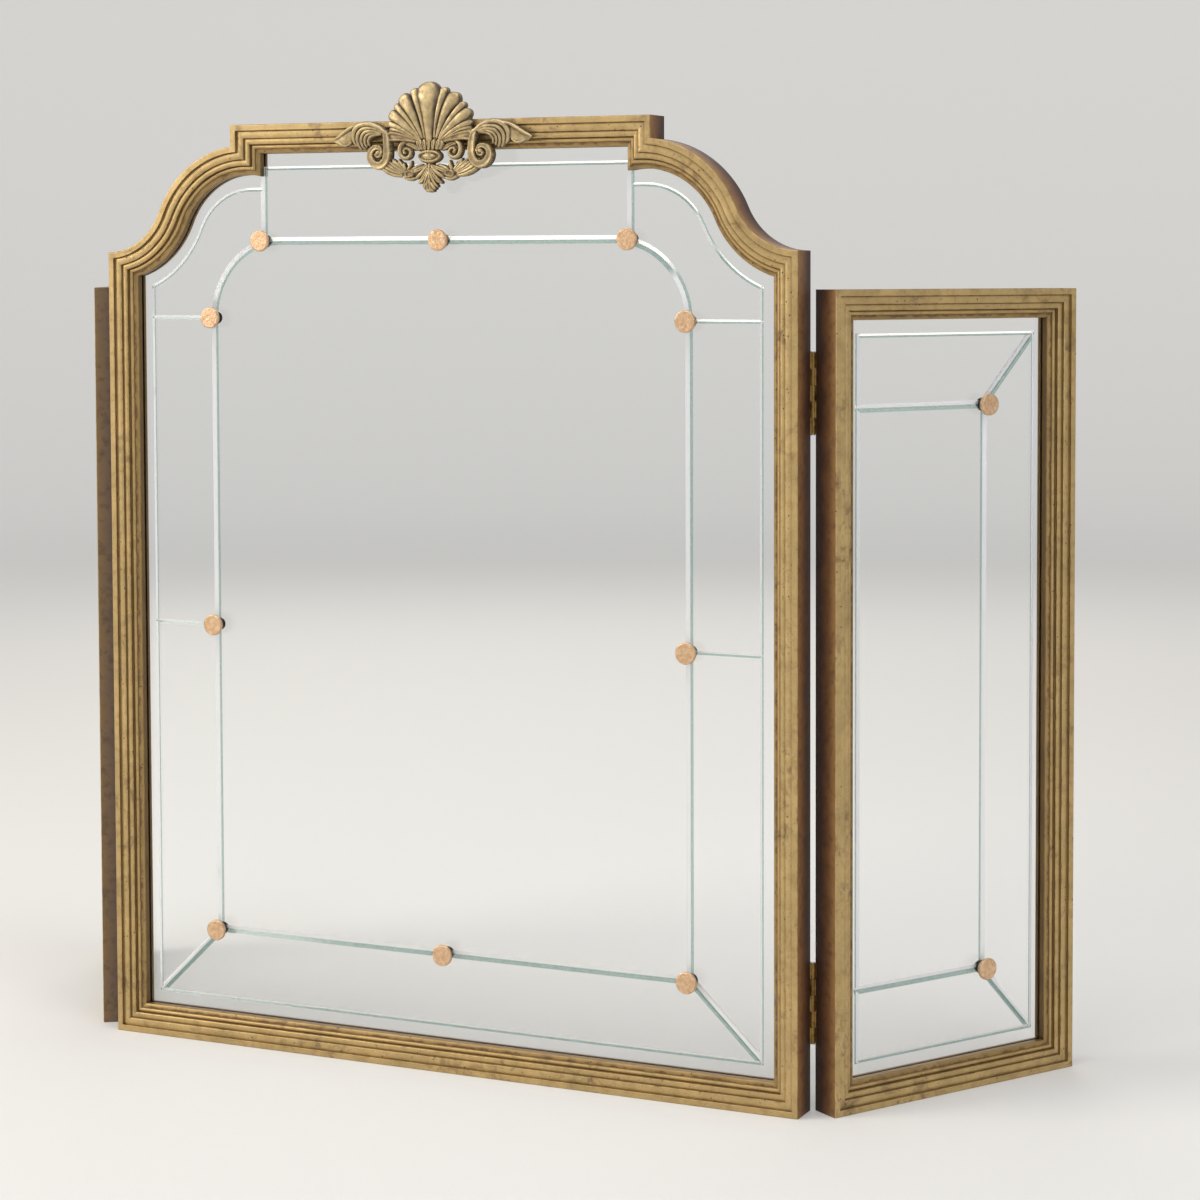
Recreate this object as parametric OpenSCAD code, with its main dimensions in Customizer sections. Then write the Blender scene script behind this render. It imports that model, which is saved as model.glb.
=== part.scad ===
// Folding glass fireplace screen. A wide centre panel with an ogee-shouldered top carries a cast
// shell crest, and a plain rectangular wing is hinged behind each side of it. Every panel is a
// mitred frame of reeded moulding round one pane of V-grooved glass set with round medallions.
// X runs along the centre panel, Y from front to back and Z upwards. The origin is the middle of
// the underside of the centre panel's bottom rail. The wings stand folded back as at the hearth.

/* [Centre panel] */
// Width of the centre panel
centre_w = 722; // [680:1:780]
// Height of the centre panel at its outer edges
shoulder_h = 762; // [720:1:790]
// Height of the raised top section
crown_h = 882; // [862:1:910]
// Width of the raised top section
crown_w = 440; // [400:1:480]
// Height of the small step below the raised top section
step_h = 19.8; // [14:0.1:26]
// Length of level moulding between each step and the start of the shoulder's curve
step_tuck = 11.5; // [4:0.5:18]
// Share of each shoulder's sweep that bulges outwards, the rest is hollow
bulge_share = 0.614; // [0.5:0.002:0.68]

/* [Wings] */
// Width of each wing
wing_w = 276; // [240:1:330]
// Height of each wing
wing_h = 728; // [700:1:755]
// How far the wings stand folded back from flat
rest_fold = 58; // [0:1:150]

/* [Moulding] */
// Thickness of the frames, front to back
frame_t = 29.5; // [27:0.1:34]
// Width of the flat band along the outer edge
outer_band_w = 5.8; // [4:0.1:8]
// Width of the broad reed beside the band
broad_reed_w = 7.2; // [5:0.1:9]
// Width of the narrow reed
narrow_reed_w = 5.6; // [4:0.1:7]
// Width of the inner ridge
ridge_w = 4.2; // [3:0.1:6]
// Width of the lip at the glass
lip_w = 4.2; // [3:0.1:6]
// Depth of the broad reed's crown behind the front face
broad_reed_d = 2.3; // [1.5:0.1:3]
// Depth of the narrow reed's crown
narrow_reed_d = 4.3; // [3.6:0.1:5]
// Depth of the inner ridge's crown
ridge_d = 7.1; // [6.4:0.1:8]
// Depth of the lip where it starts
lip_d = 8.9; // [8.4:0.1:10]
// Fall of the lip towards the glass
lip_fall = 2.1; // [1:0.1:3]
// Height of a reed's crown over its edges
reed_rise = 0.8; // [0.4:0.1:1.2]
// Radius on the outer arris
arris_r = 1.0; // [0.5:0.1:1.8]

/* [Glass] */
// Thickness of the panes
glass_t = 5; // [4:0.1:6]
// Depth of the panes' front face behind the front of the frames
glass_d = 16.5; // [15:0.1:17.5]
// How far the frame covers the edge of a pane
glass_cover = 7; // [5:0.1:8]
// Space between the edge of a pane and the wall of its rabbet
glass_gap = 1; // [0.5:0.1:1.5]
// Width of the fine V-grooves
fine_groove_w = 3.6; // [2:0.1:5]
// Width of the broad V-grooves
broad_groove_w = 7.4; // [5:0.1:9]
// Depth of a V-groove as a share of its width
groove_slope = 0.24; // [0.15:0.01:0.3]
// Distance of the border groove from the outer edge of the centre panel
border_inset = 41; // [36:1:48]
// Distance of the broad upright grooves from the sides of the centre panel
field_inset = 111; // [99:1:130]
// Distance of the lower broad groove from the bottom of the centre panel
field_low = 108; // [90:1:130]
// Distance of the upper broad groove from the top of the centre panel
field_drop = 109.5; // [97:0.5:125]
// Radius of the field's two rounded upper corners
field_corner_r = 73; // [50:1:90]
// Height of the middle cross grooves of the centre pane
cross_mid = 404.5; // [300:1:500]
// Distance of the short upright grooves from the sides of the raised section
neck_inset = 27; // [15:1:40]
// Distance of a wing's near border groove from its hinge edge
wing_near_groove = 36; // [33:1:45]
// Distance of a wing's far border groove from its outer edge
wing_far_groove = 39; // [33:1:48]
// Distance of a wing's border grooves from its top and bottom
wing_end_groove = 41; // [36:1:48]
// Distance of a wing's broad upright groove from its outer edge
wing_bar = 97; // [80:1:120]
// Distance of a wing's cross grooves from its top and bottom
wing_cross = 105; // [90:1:120]

/* [Medallions] */
// Diameter of a medallion
medallion_dia = 20; // [16:0.5:24]
// Thickness of a medallion
medallion_t = 3.4; // [3:0.1:4.5]
// Length of the neck behind a medallion
neck_l = 1.6; // [1:0.1:3]
// Thickness of the thin ring on the neck
ring_t = 0.8; // [0.5:0.1:1.2]
// Thickness of the black washer against the glass
washer_t = 4.6; // [2:0.1:6]
// Diameter of the black washer
washer_dia = 13; // [11:0.5:15]
// Diameter of the stud through the glass
stud_dia = 4; // [3:0.1:5]
// Thickness of the nut behind the glass
nut_t = 3.4; // [2.5:0.1:4]

/* [Hinges] */
// Length of a hinge
hinge_l = 72; // [60:1:90]
// Distance of the upper hinges from the top of the wings
upper_hinge_drop = 55; // [36:1:116]
// Height of the foot of the lower hinges
lower_hinge_z = 60; // [45:1:120]
// Space between the panels when they stand flat
panel_gap = 2; // [1.6:0.1:3]
// Outer radius of a knuckle
knuckle_r = 3; // [2.8:0.1:3.5]
// Radius of a hinge pin
pin_r = 1.4; // [1.2:0.05:1.6]
// Width of a hinge leaf
leaf_w = 18; // [14:0.5:20]
// Thickness of a hinge leaf
leaf_t = 2; // [1.6:0.1:2.5]

/* [Crest] */
// Width of the whole crest, out to the tips of its side leaves
crest_w = 209; // [195:1:225]
// Height of its highest rib in front of the frame
crest_relief = 10.4; // [8:0.1:12]
// Distance of each crest screw from the middle
crest_screw_x = 28; // [20:1:34]
// Drop of the crest screws below the top of the frame
crest_screw_drop = 12; // [10:0.5:14]

/* [Hidden] */

$fn = 48;
gold = [0.70, 0.57, 0.33];
cast_gold = [0.72, 0.60, 0.36];
rose_gold = [0.86, 0.72, 0.60];
brass = [0.55, 0.44, 0.24];
steel = [0.62, 0.62, 0.62];
black = [0.10, 0.10, 0.10];
clear = [0.70, 0.86, 0.82, 0.45];

// Clearance of a round piece in its hole, and how far a cutting shape runs past a face
fit = 0.05;
past = 1;

half_w = centre_w / 2;
half_crown = crown_w / 2;
moulding_w = outer_band_w + broad_reed_w + narrow_reed_w + ridge_w + lip_w;
rabbet_s = moulding_w - glass_cover - glass_gap;
glass_s = moulding_w - glass_cover;
glass_back = glass_d + glass_t;

// To a thousandth of a millimetre, so that lengths and arcs of a section meet exactly
function rounded(x) = round(x * 1000) / 1000;
function all_rounded(points) = [for (p = points) [rounded(p[0]), rounded(p[1])]];

// Each shoulder is an S of two arcs, tangent to each other, level at both of its ends
step_z = crown_h - step_h;
curve_x = half_crown - step_tuck;
rise = step_z - shoulder_h;
run = half_w - curve_x;
sweep = 2 * atan(rise / run);
bulge_r = rounded(bulge_share * run / sin(sweep));
hollow_r = rounded((1 - bulge_share) * run / sin(sweep));
bulge_c = [curve_x, step_z - bulge_r];
hollow_c = [half_w, shoulder_h + hollow_r];

hinge_x = half_w + panel_gap / 2;
hinge_y = frame_t / 2 + knuckle_r;
upper_hinge_z = wing_h - upper_hinge_drop - hinge_l;

field_half_w = half_w - field_inset;
field_high = crown_h - field_drop;
neck_half_w = half_crown - neck_inset;

// A section is a list of points [distance in from the outer edge, depth behind the front face]
function reed(s, w, crown, edge) =
    [for (a = [0:22.5:180]) [s + w / 2 * (1 - cos(a)), edge - (edge - crown) * sin(a)]];

broad_s = outer_band_w;
narrow_s = broad_s + broad_reed_w;
ridge_s = narrow_s + narrow_reed_w;
lip_s = ridge_s + ridge_w;
moulding = all_rounded(concat(
    [[0, frame_t]],
    [for (a = [0:30:90]) [arris_r * (1 - cos(a)), arris_r * (1 - sin(a))]],
    [[broad_s - reed_rise / 2, 0], [broad_s, reed_rise / 2]],
    reed(broad_s, broad_reed_w, broad_reed_d, broad_reed_d + reed_rise),
    reed(narrow_s, narrow_reed_w, narrow_reed_d, narrow_reed_d + 1.3 * reed_rise),
    reed(ridge_s, ridge_w, ridge_d, lip_d + reed_rise / 2),
    [for (a = [0:22.5:90]) [lip_s + lip_w * sin(a), lip_d + lip_fall * (1 - cos(a))]],
    [[moulding_w, glass_d], [rabbet_s, glass_d], [rabbet_s, frame_t]]
));

// The bead that holds a pane from behind, a quarter round
bead_gap = 0.3;
bead_s = rabbet_s + bead_gap;
bead_w = moulding_w - bead_s;
bead_t = frame_t - glass_back - 1;
bead = all_rounded(concat(
    [[bead_s, glass_back], [bead_s, glass_back + bead_t]],
    [for (a = [90:-18:0]) [bead_s + bead_w * (0.25 + 0.75 * cos(a)),
                           glass_back + bead_t * (0.3 + 0.7 * sin(a))]],
    [[moulding_w, glass_back]]
));

// A V-groove in the face of a pane, as a section that lies s in from the outer edge
function v_cut(s, w) = let (d = rounded(w * groove_slope), k = rounded(w / 2 * (1 + past / d)))
    [[s - k, glass_d - past], [s + k, glass_d - past], [s, glass_d + d]];

function inner(section) = max([for (p = section) p[0]]) + past;
function outer(section) = min([for (p = section) p[0]]) - past;

// Where the centre panel's pieces meet, s in from the outer edge
function stile_top(s) = [half_w - s, hollow_c[1] - sqrt(pow(hollow_r, 2) + 2 * hollow_r * s)];
function step_foot(s) = [half_crown - s,
    bulge_c[1] + sqrt(pow(bulge_r - s, 2) - pow(step_tuck - s, 2))];
function joint_line(a, b) = [for (i = [0:10]) a + (b - a) * i / 10];

// A plate standing in the plane of a panel, between two depths
module plate(points, d1 = -past, d2 = frame_t + past)
    translate([0, d2 - frame_t / 2, 0])
        rotate([90, 0, 0])
            linear_extrude(d2 - d1)
                polygon(points);

// A straight length of a section, from a point and turned in the plane of the panel
module length_of(section, from, turn, l)
    translate([from[0], -frame_t / 2, from[1]])
        rotate([0, -turn, 0])
            rotate([90, 0, 90])
                linear_extrude(l)
                    polygon([for (p = section) [p[1], p[0]]]);

// A section swept round an arc, bulging outwards or hollow
module arc_of(section, centre, r, from, angle, hollow = false)
    translate([centre[0], -frame_t / 2, centre[1]])
        rotate([0, -from, 0])
            rotate([90, 0, 0])
                rotate_extrude(angle = angle, $fn = 96)
                    polygon([for (p = section) [hollow ? r + p[0] : r - p[0], -p[1]]]);

// The right-hand and middle pieces of the centre panel, for any section
module stile_piece(section) {
    a = outer(section);
    b = inner(section);
    intersection() {
        length_of(section, [half_w, 0], 90, shoulder_h + past);
        plate(concat([[half_w - a, a]], [for (s = joint_line(a, b)) stile_top(s)],
                     [[half_w - b, b]]));
    }
}

module bottom_piece(section) {
    a = outer(section);
    b = inner(section);
    intersection() {
        length_of(section, [-half_w, 0], 0, centre_w);
        plate([[a - half_w, a], [half_w - a, a], [half_w - b, b], [b - half_w, b]]);
    }
}

module top_piece(section) {
    a = outer(section);
    b = inner(section);
    intersection() {
        length_of(section, [half_crown, crown_h], 180, crown_w);
        plate([[a - half_crown, crown_h - a], [half_crown - a, crown_h - a],
               [half_crown - b, crown_h - b], [b - half_crown, crown_h - b]]);
    }
}

module step_piece(section) {
    a = outer(section);
    b = inner(section);
    foot = step_foot(b)[1] - past;
    intersection() {
        length_of(section, [half_crown, foot], 90, crown_h - foot);
        plate(concat([for (s = joint_line(a, b)) step_foot(s)],
                     [[half_crown - b, crown_h - b], [half_crown - a, crown_h - a]]));
    }
}

// Something drawn with its origin where the two arcs of a shoulder meet, and X across the moulding
module at_inflection() {
    p = bulge_c + bulge_r * arc_dir(90 - sweep);
    translate([p[0], 0, p[1]]) rotate([0, sweep - 90, 0]) children();
}

module shoulder_piece(section) {
    a = outer(section);
    b = inner(section);
    lead = asin((b + past - step_tuck) / (bulge_r - b));
    intersection() {
        at_inflection() {
            arc_of(section, [-bulge_r, 0], bulge_r, 0, sweep + lead);
            arc_of(section, [hollow_r, 0], hollow_r, 180, sweep + past, true);
        }
        plate(concat(
            [for (s = joint_line(a, b)) step_foot(s)],
            [[half_crown - b, shoulder_h - 2 * b], [half_w - b, shoulder_h - 2 * b]],
            [for (s = joint_line(b, a)) stile_top(s)],
            [[half_w - a, crown_h], [half_crown - a, crown_h]]
        ));
    }
}

// The four pieces of a wing, drawn with the hinge edge at X = 0
module wing_side(section, x, turn, from_z) {
    a = outer(section);
    b = inner(section);
    intersection() {
        length_of(section, [x, from_z], turn, wing_h);
        if (x == 0)
            plate([[a, a], [a, wing_h - a], [b, wing_h - b], [b, b]]);
        else
            plate([[wing_w - a, a], [wing_w - a, wing_h - a],
                   [wing_w - b, wing_h - b], [wing_w - b, b]]);
    }
}

module wing_near(section) wing_side(section, 0, 270, wing_h);

module wing_far(section) wing_side(section, wing_w, 90, 0);

module wing_bottom(section) {
    a = outer(section);
    b = inner(section);
    intersection() {
        length_of(section, [0, 0], 0, wing_w);
        plate([[a, a], [wing_w - a, a], [wing_w - b, b], [b, b]]);
    }
}

module wing_top(section) {
    a = outer(section);
    b = inner(section);
    intersection() {
        length_of(section, [wing_w, wing_h], 180, wing_w);
        plate([[a, wing_h - a], [wing_w - a, wing_h - a], [wing_w - b, wing_h - b],
               [b, wing_h - b]]);
    }
}

// Places a wing drawn with its hinge edge at X = 0, and its mirror image on the left
module on_right() translate([hinge_x, hinge_y, 0]) rotate([0, 0, rest_fold])
    translate([panel_gap / 2, -hinge_y, 0]) children();
module on_left() mirror([1, 0, 0]) on_right() children();
module both() {
    children();
    mirror([1, 0, 0]) children();
}

// Something turned, with its axis along Y, from a depth behind the front face backwards
module turned(at, d) translate([at[0], d - frame_t / 2, at[1]]) rotate([-90, 0, 0]) children();

// The same from a depth forwards
module turned_forward(at, d)
    translate([at[0], d - frame_t / 2, at[1]]) rotate([90, 0, 0]) children();

// Glass
hollow_lead = asin(glass_s / (hollow_r + glass_s));
centre_outline = concat(
    [[half_w - glass_s, glass_s]],
    [for (i = [0:12]) hollow_c
        + (hollow_r + glass_s) * arc_dir(270 - hollow_lead - i / 12 * (sweep - hollow_lead))],
    [for (i = [1:12]) bulge_c + (bulge_r - glass_s) * arc_dir(90 - sweep + i / 12 * sweep)],
    [step_foot(glass_s), [half_crown - glass_s, crown_h - glass_s]]
);
function arc_dir(a) = [cos(a), sin(a)];
function mirrored(points) = [for (i = [len(points) - 1:-1:0]) [-points[i][0], points[i][1]]];

// A straight V-groove between two points, running a little past both unless told otherwise
module groove(from, to, w, before = 0.4, after = 0.4) {
    d = to - from;
    translate([from[0], 0, from[1]])
        rotate([0, -atan2(d[1], d[0]), 0])
            length_of(v_cut(0, w), [-before * w, 0], 0, norm(d) + (before + after) * w);
}

centre_medallion_at = [
    [-neck_half_w, field_high], [0, field_high], [neck_half_w, field_high],
    [-field_half_w, field_high - field_corner_r], [field_half_w, field_high - field_corner_r],
    [-field_half_w, cross_mid], [field_half_w, cross_mid],
    [-field_half_w, field_low], [0, field_low], [field_half_w, field_low],
];
wing_medallion_at = [
    [wing_w - wing_bar, wing_cross], [wing_w - wing_bar, wing_h - wing_cross],
];

stud_clearance = 0.5;
module stud_holes(at) for (p = at) turned(p, glass_d - past) rotate([0, 0, 30])
    cylinder(r = stud_dia / 2 + stud_clearance, h = glass_t + 2 * past);

// A V-groove that follows an arc, clockwise
module groove_arc(s, w, centre, r, from, angle, hollow = false)
    translate([centre[0], 0, centre[1]]) rotate([0, -from, 0]) mirror([0, 0, 1])
        arc_of(v_cut(s, w), [0, 0], r, 0, angle, hollow);

// The border groove round a shoulder, an S that keeps its distance from the edge
module shoulder_groove(w) {
    start = 271 - asin(border_inset / (hollow_r + border_inset));
    level = step_z - border_inset;
    groove_arc(border_inset, w, hollow_c, hollow_r, start, start - 270 + sweep, true);
    groove_arc(border_inset, w, bulge_c, bulge_r, 90, sweep);
    groove([curve_x, level], [neck_half_w, level], w, 0);
}

module centre_glass() {
    corner = [field_half_w - field_corner_r, field_high - field_corner_r];
    edge = half_w - border_inset;
    top = crown_h - border_inset;
    color(clear) difference() {
        plate(concat(centre_outline, mirrored(centre_outline)), glass_d, glass_back);
        stud_holes(centre_medallion_at);
        groove([-edge, border_inset], [edge, border_inset], fine_groove_w);
        groove([-neck_half_w, top], [neck_half_w, top], fine_groove_w);
        groove([-field_half_w, field_low], [field_half_w, field_low], broad_groove_w);
        groove([-corner[0], field_high], [corner[0], field_high], broad_groove_w, 0, 0);
        both() {
            groove([edge, border_inset], stile_top(border_inset), fine_groove_w);
            shoulder_groove(fine_groove_w);
            groove([neck_half_w, field_high], [neck_half_w, top], broad_groove_w, 0.2, 0.1);
            groove([field_half_w, field_low], [field_half_w, corner[1]], broad_groove_w, 0.4, 0);
            groove_arc(0, broad_groove_w, corner, field_corner_r, 90, 90);
            groove([field_half_w, corner[1]], [edge, corner[1]], fine_groove_w);
            groove([field_half_w, cross_mid], [edge, cross_mid], fine_groove_w);
            groove([field_half_w, field_low], [edge, border_inset], fine_groove_w, 0.4, -0.2);
        }
    }
}

near_groove_w = (fine_groove_w + broad_groove_w) / 2;
module wing_pane() {
    near = wing_near_groove;
    far = wing_w - wing_far_groove;
    low = wing_end_groove;
    high = wing_h - wing_end_groove;
    bar = wing_w - wing_bar;
    color(clear) difference() {
        plate([[glass_s, glass_s], [wing_w - glass_s, glass_s],
               [wing_w - glass_s, wing_h - glass_s], [glass_s, wing_h - glass_s]],
              glass_d, glass_back);
        stud_holes(wing_medallion_at);
        groove([near, low], [near, high], near_groove_w);
        groove([far, low], [far, high], fine_groove_w);
        groove([near, low], [far, low], fine_groove_w);
        groove([near, high], [far, high], fine_groove_w);
        groove([bar, wing_cross], [bar, wing_h - wing_cross], broad_groove_w);
        groove([near, wing_cross], [bar, wing_cross], broad_groove_w);
        groove([near, wing_h - wing_cross], [bar, wing_h - wing_cross], broad_groove_w);
        groove([bar, wing_cross], [far, low], fine_groove_w, 0.4, -0.2);
        groove([bar, wing_h - wing_cross], [far, high], fine_groove_w, 0.4, -0.2);
    }
}

// Medallions: a disc with a rounded rim, a neck, a thin ring and a stud, turned in one piece
medallion_d = glass_d - washer_t - ring_t - neck_l - medallion_t;
rim_round = 0.9;
stud_end = 1.2;
module medallions(at) {
    r = medallion_dia / 2;
    neck = medallion_t + neck_l;
    neck_r = (washer_dia + stud_dia) / 4;
    ring = neck + ring_t;
    ring_r = (medallion_dia + washer_dia) / 4;
    stud = ring + washer_t + glass_t + nut_t + stud_end;
    color(rose_gold) for (p = at) turned(p, medallion_d) rotate_extrude() polygon(concat(
        [[0, 0]],
        [for (a = [0:22.5:90]) [r - rim_round * (1 - sin(a)), rim_round * (1 - cos(a))]],
        [[r, medallion_t], [neck_r, medallion_t], [neck_r, neck], [ring_r, neck], [ring_r, ring],
         [stud_dia / 2, ring], [stud_dia / 2, stud], [0, stud]]
    ));
}

module washers(at) color(black) for (p = at) turned(p, glass_d - washer_t) difference() {
    cylinder(d = washer_dia, h = washer_t);
    translate([0, 0, -past]) cylinder(r = stud_dia / 2 + fit, h = washer_t + 2 * past);
}

flange_dia = 3 * stud_dia;
flange_t = 0.9;
nut_dia = 8.1;
module nuts(at) color(steel) for (p = at) turned(p, glass_back) difference() {
    union() {
        cylinder(d = flange_dia, h = flange_t);
        cylinder(d = nut_dia, h = nut_t, $fn = 6);
    }
    translate([0, 0, -past]) cylinder(r = stud_dia / 2 + fit, h = nut_t + 2 * past);
}

// Brads driven outwards through the beads into the frame, at [x, z] and turned in the plane
brad_r = 0.7;
brad_l = 10;
brad_d = glass_back + bead_t * 0.45;
brad_spread = 0.22;
module brad(at, turn, r = brad_r)
    translate([at[0], brad_d - frame_t / 2, at[1]])
        rotate([0, 90 - turn, 0]) cylinder(r = r, h = brad_l);

brad_in = moulding_w - bead_w * 0.12;
module centre_right_brads(r = brad_r) for (i = [0:3])
    brad([half_w - brad_in, border_inset * 2 + i * (shoulder_h - border_inset * 5) / 3], 0, r);
module centre_bottom_brads(r = brad_r) for (i = [-1.5:1.5])
    brad([i * centre_w * brad_spread, brad_in], -90, r);
module centre_top_brads(r = brad_r) for (i = [-1.5:1.5])
    brad([i * crown_w * brad_spread, crown_h - brad_in], 90, r);
module wing_side_brads(r = brad_r) for (i = [0:3]) {
    z = wing_end_groove * 2 + i * (wing_h - wing_end_groove * 4) / 3;
    brad([brad_in, z], 180, r);
    brad([wing_w - brad_in, z], 0, r);
}
module wing_end_brads(r = brad_r) for (i = [-1, 1]) {
    x = wing_w / 2 + i * wing_w * brad_spread;
    brad([x, brad_in], -90, r);
    brad([x, wing_h - brad_in], 90, r);
}
hole_r = brad_r + fit;

// Hinges, drawn round their axis at X = 0 and Y = 0 with the foot at Z = 0. The fixed leaf lies
// on the side of negative X, and the back faces of the panels are knuckle_r in front of the axis.
knuckles = 5;
knuckle_l = hinge_l / knuckles;
knuckle_gap = 0.2;
screw_r = 1.5;
screw_head_r = 2.9;
screw_head_t = 1.5;
screw_l = 13;
leaf_screws = [[-0.45, 0.14], [-0.65, 0.5], [-0.45, 0.86]];

module leaf_screw(r = screw_r, head_r = screw_head_r) rotate([90, 0, 0]) {
    cylinder(r = r, h = screw_l);
    cylinder(r1 = head_r, r2 = r, h = screw_head_t);
}

module at_leaf_screws() for (p = leaf_screws)
    translate([p[0] * leaf_w - panel_gap / 2, -knuckle_r, p[1] * hinge_l]) children();

module leaf_plate(extra = 0)
    translate([-panel_gap / 2 - leaf_w, -knuckle_r - leaf_t, 0])
        cube([leaf_w + extra, leaf_t + extra, hinge_l]);

// A leaf with its own knuckles, counted from the foot
module leaf(own) color(brass) difference() {
    union() {
        leaf_plate();
        for (i = own) translate([0, 0, i * knuckle_l + knuckle_gap / 2]) {
            cylinder(r = knuckle_r, h = knuckle_l - knuckle_gap);
            linear_extrude(knuckle_l - knuckle_gap)
                polygon([[-panel_gap / 2 - knuckle_r, -knuckle_r - leaf_t / 4], [-knuckle_r, 0],
                         [0, 0], [0, -knuckle_r], [-panel_gap / 2, -knuckle_r - leaf_t / 4]]);
        }
    }
    translate([0, 0, -past]) cylinder(r = pin_r + fit, h = hinge_l + 2 * past);
    at_leaf_screws() translate([0, past / 100, 0]) leaf_screw(screw_r + fit, screw_head_r + fit);
}

pin_head_t = 0.9;
pin_head_r = pin_r + 0.9;
module pin() color(steel) translate([0, 0, -pin_head_t + knuckle_gap / 2]) {
    cylinder(r = pin_head_r, h = pin_head_t);
    cylinder(r = pin_r, h = hinge_l + pin_head_t * 2 - knuckle_gap);
    translate([0, 0, hinge_l + pin_head_t - knuckle_gap]) cylinder(r = pin_head_r, h = pin_head_t);
}

// Places a hinge part against the right-hand stile of the centre panel, or on the right wing
module at_hinge(z) translate([hinge_x, hinge_y, z]) children();
module moving() rotate([0, 0, rest_fold]) mirror([1, 0, 0]) children();
fixed_knuckles = [0, 2, 4];
moving_knuckles = [1, 3];
hinge_zs = [lower_hinge_z, upper_hinge_z];

// What the hinges take out of the centre stile, and out of the hinge stile of a wing
module hinge_seats() for (z = hinge_zs) at_hinge(z) {
    leaf_plate(past);
    at_leaf_screws() leaf_screw(screw_r + fit, screw_r + fit);
}
module wing_hinge_seats() translate([-panel_gap / 2, hinge_y, 0]) for (z = hinge_zs)
    translate([0, 0, z]) mirror([1, 0, 0]) {
        leaf_plate(past);
        at_leaf_screws() leaf_screw(screw_r + fit, screw_r + fit);
    }

// Crest, drawn in rows of [x, z, half width, height], with z from the top of the frame and the
// height in front of it. The drawing has a width and a relief, and the named sizes scale it.
drawn_w = 209;
drawn_relief = 10.4;
crest_u = crest_w / drawn_w;
relief_u = crest_relief / drawn_relief;
crest_gap = 0.1;
crest_screw_z = crown_h - crest_screw_drop;
crest_screw_r = 1.7;
crest_screw_head_r = 3.4;
function crest_point(p, h) =
    [p[0] * crest_u, -frame_t / 2 - crest_gap - h * relief_u, crown_h + p[1] * crest_u];

// Rounded ends for a band: rows beyond each end, as [reach, half width, height] in shares
near_end = [0.55, 0.83, 0.86];
far_end = [0.95, 0.35, 0.6];
function row_beyond(end, before, share) =
    let (d = [end[0] - before[0], end[1] - before[1]], k = share[0] * end[2] / norm(d))
    [end[0] + d[0] * k, end[1] + d[1] * k, share[1] * end[2], share[2] * end[3]];
function rounded_ends(rows) = let (n = len(rows) - 1) concat(
    [row_beyond(rows[0], rows[1], far_end), row_beyond(rows[0], rows[1], near_end)],
    rows,
    [row_beyond(rows[n], rows[n - 1], near_end), row_beyond(rows[n], rows[n - 1], far_end)]);

// A band that follows rows: its front is rounded, or for a fine one a ridge. It starts behind
// the crest's back, where all are cut level.
band_root = -0.2;
round_front = [[-1, band_root], [-0.85, 0.7], [0, 1], [0.85, 0.7], [1, band_root]];
ridged_front = [[-1, band_root], [0, 1], [1, band_root]];
module band(rows, band_section = round_front) {
    path = rounded_ends(rows);
    last = len(path) - 1;
    sides = len(band_section);
    across = [for (i = [0:last])
        let (d = path[min(i + 1, last)] - path[max(i - 1, 0)]) [d[1], -d[0]] / norm([d[0], d[1]])];
    points = [for (i = [0:last]) for (s = band_section)
        crest_point([path[i][0], path[i][1]] + across[i] * s[0] * path[i][2], s[1] * path[i][3])];
    polyhedron(points, concat(
        [[for (j = [0:sides - 1]) j]],
        [[for (j = [sides - 1:-1:0]) last * sides + j]],
        [for (i = [0:last - 1]) for (j = [0:sides - 1]) let (k = (j + 1) % sides)
            [i * sides + k, i * sides + j, (i + 1) * sides + j]],
        [for (i = [0:last - 1]) for (j = [0:sides - 1]) let (k = (j + 1) % sides)
            [(i + 1) * sides + k, i * sides + k, (i + 1) * sides + j]]
    ));
}

// A round boss on the crest, tapered towards its front
module boss_at(p, r, h, taper = 1) translate(crest_point(p, 0)) rotate([90, 0, 0])
    cylinder(r1 = r * crest_u, r2 = r * crest_u * taper, h = h * relief_u, $fn = 16);

// Ribs of the shell, from its foot to their tips, and the broad lobe along its lower edge
middle_rib = [
    [0, -18, 3.4, 7], [0, -8, 4.4, 8.5], [0, 6, 6.4, 10], [0, 17, 9, 10.4], [0, 23.6, 11.2, 9.2],
];
broad_ribs = [
    [[8, -16, 1.3, 6.5], [15.8, 3, 3.6, 8.8], [21, 12, 5, 8.8], [25.6, 18.4, 6.2, 7]],
    [[10.8, -18, 1.2, 6], [23.2, -6, 3, 8], [32, 0.8, 4.1, 8], [38.6, 4.8, 4.6, 6.6]],
    [[10, -20, 1.2, 5.6], [25, -16.5, 3.1, 7], [34, -14.9, 4.2, 7.2], [41, -14.8, 4.8, 6.4]],
];
narrow_ribs = [
    [[5.3, -16, 1, 6.5], [9.6, 7, 2.3, 8.2], [13, 18, 3.2, 8], [15.4, 25.5, 3.8, 6.4]],
    [[10, -17, 1, 6], [20.8, -1, 2.1, 7.6], [28.4, 7.2, 2.7, 7.4], [34.3, 12.6, 3, 6]],
    [[11.5, -18.8, 0.9, 5.6], [25, -9.8, 1.8, 7], [34, -5.6, 2.3, 6.8], [41.5, -3.4, 2.5, 5.6]],
    [[17, -16.6, 0.8, 5.6], [33, -9.3, 1.3, 6.2], [40.5, -7.8, 1.4, 5.2]],
];
module crest_shell() {
    band(middle_rib);
    both() for (rows = broad_ribs) band(rows);
    both() for (rows = narrow_ribs) band(rows);
    // Body behind the ribs
    hull() both() for (p = [[0, 22], [17, 20], [33, 8], [40, -2], [40, -14], [12, -20]])
        boss_at(p, 1.5, 3);
}

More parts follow.
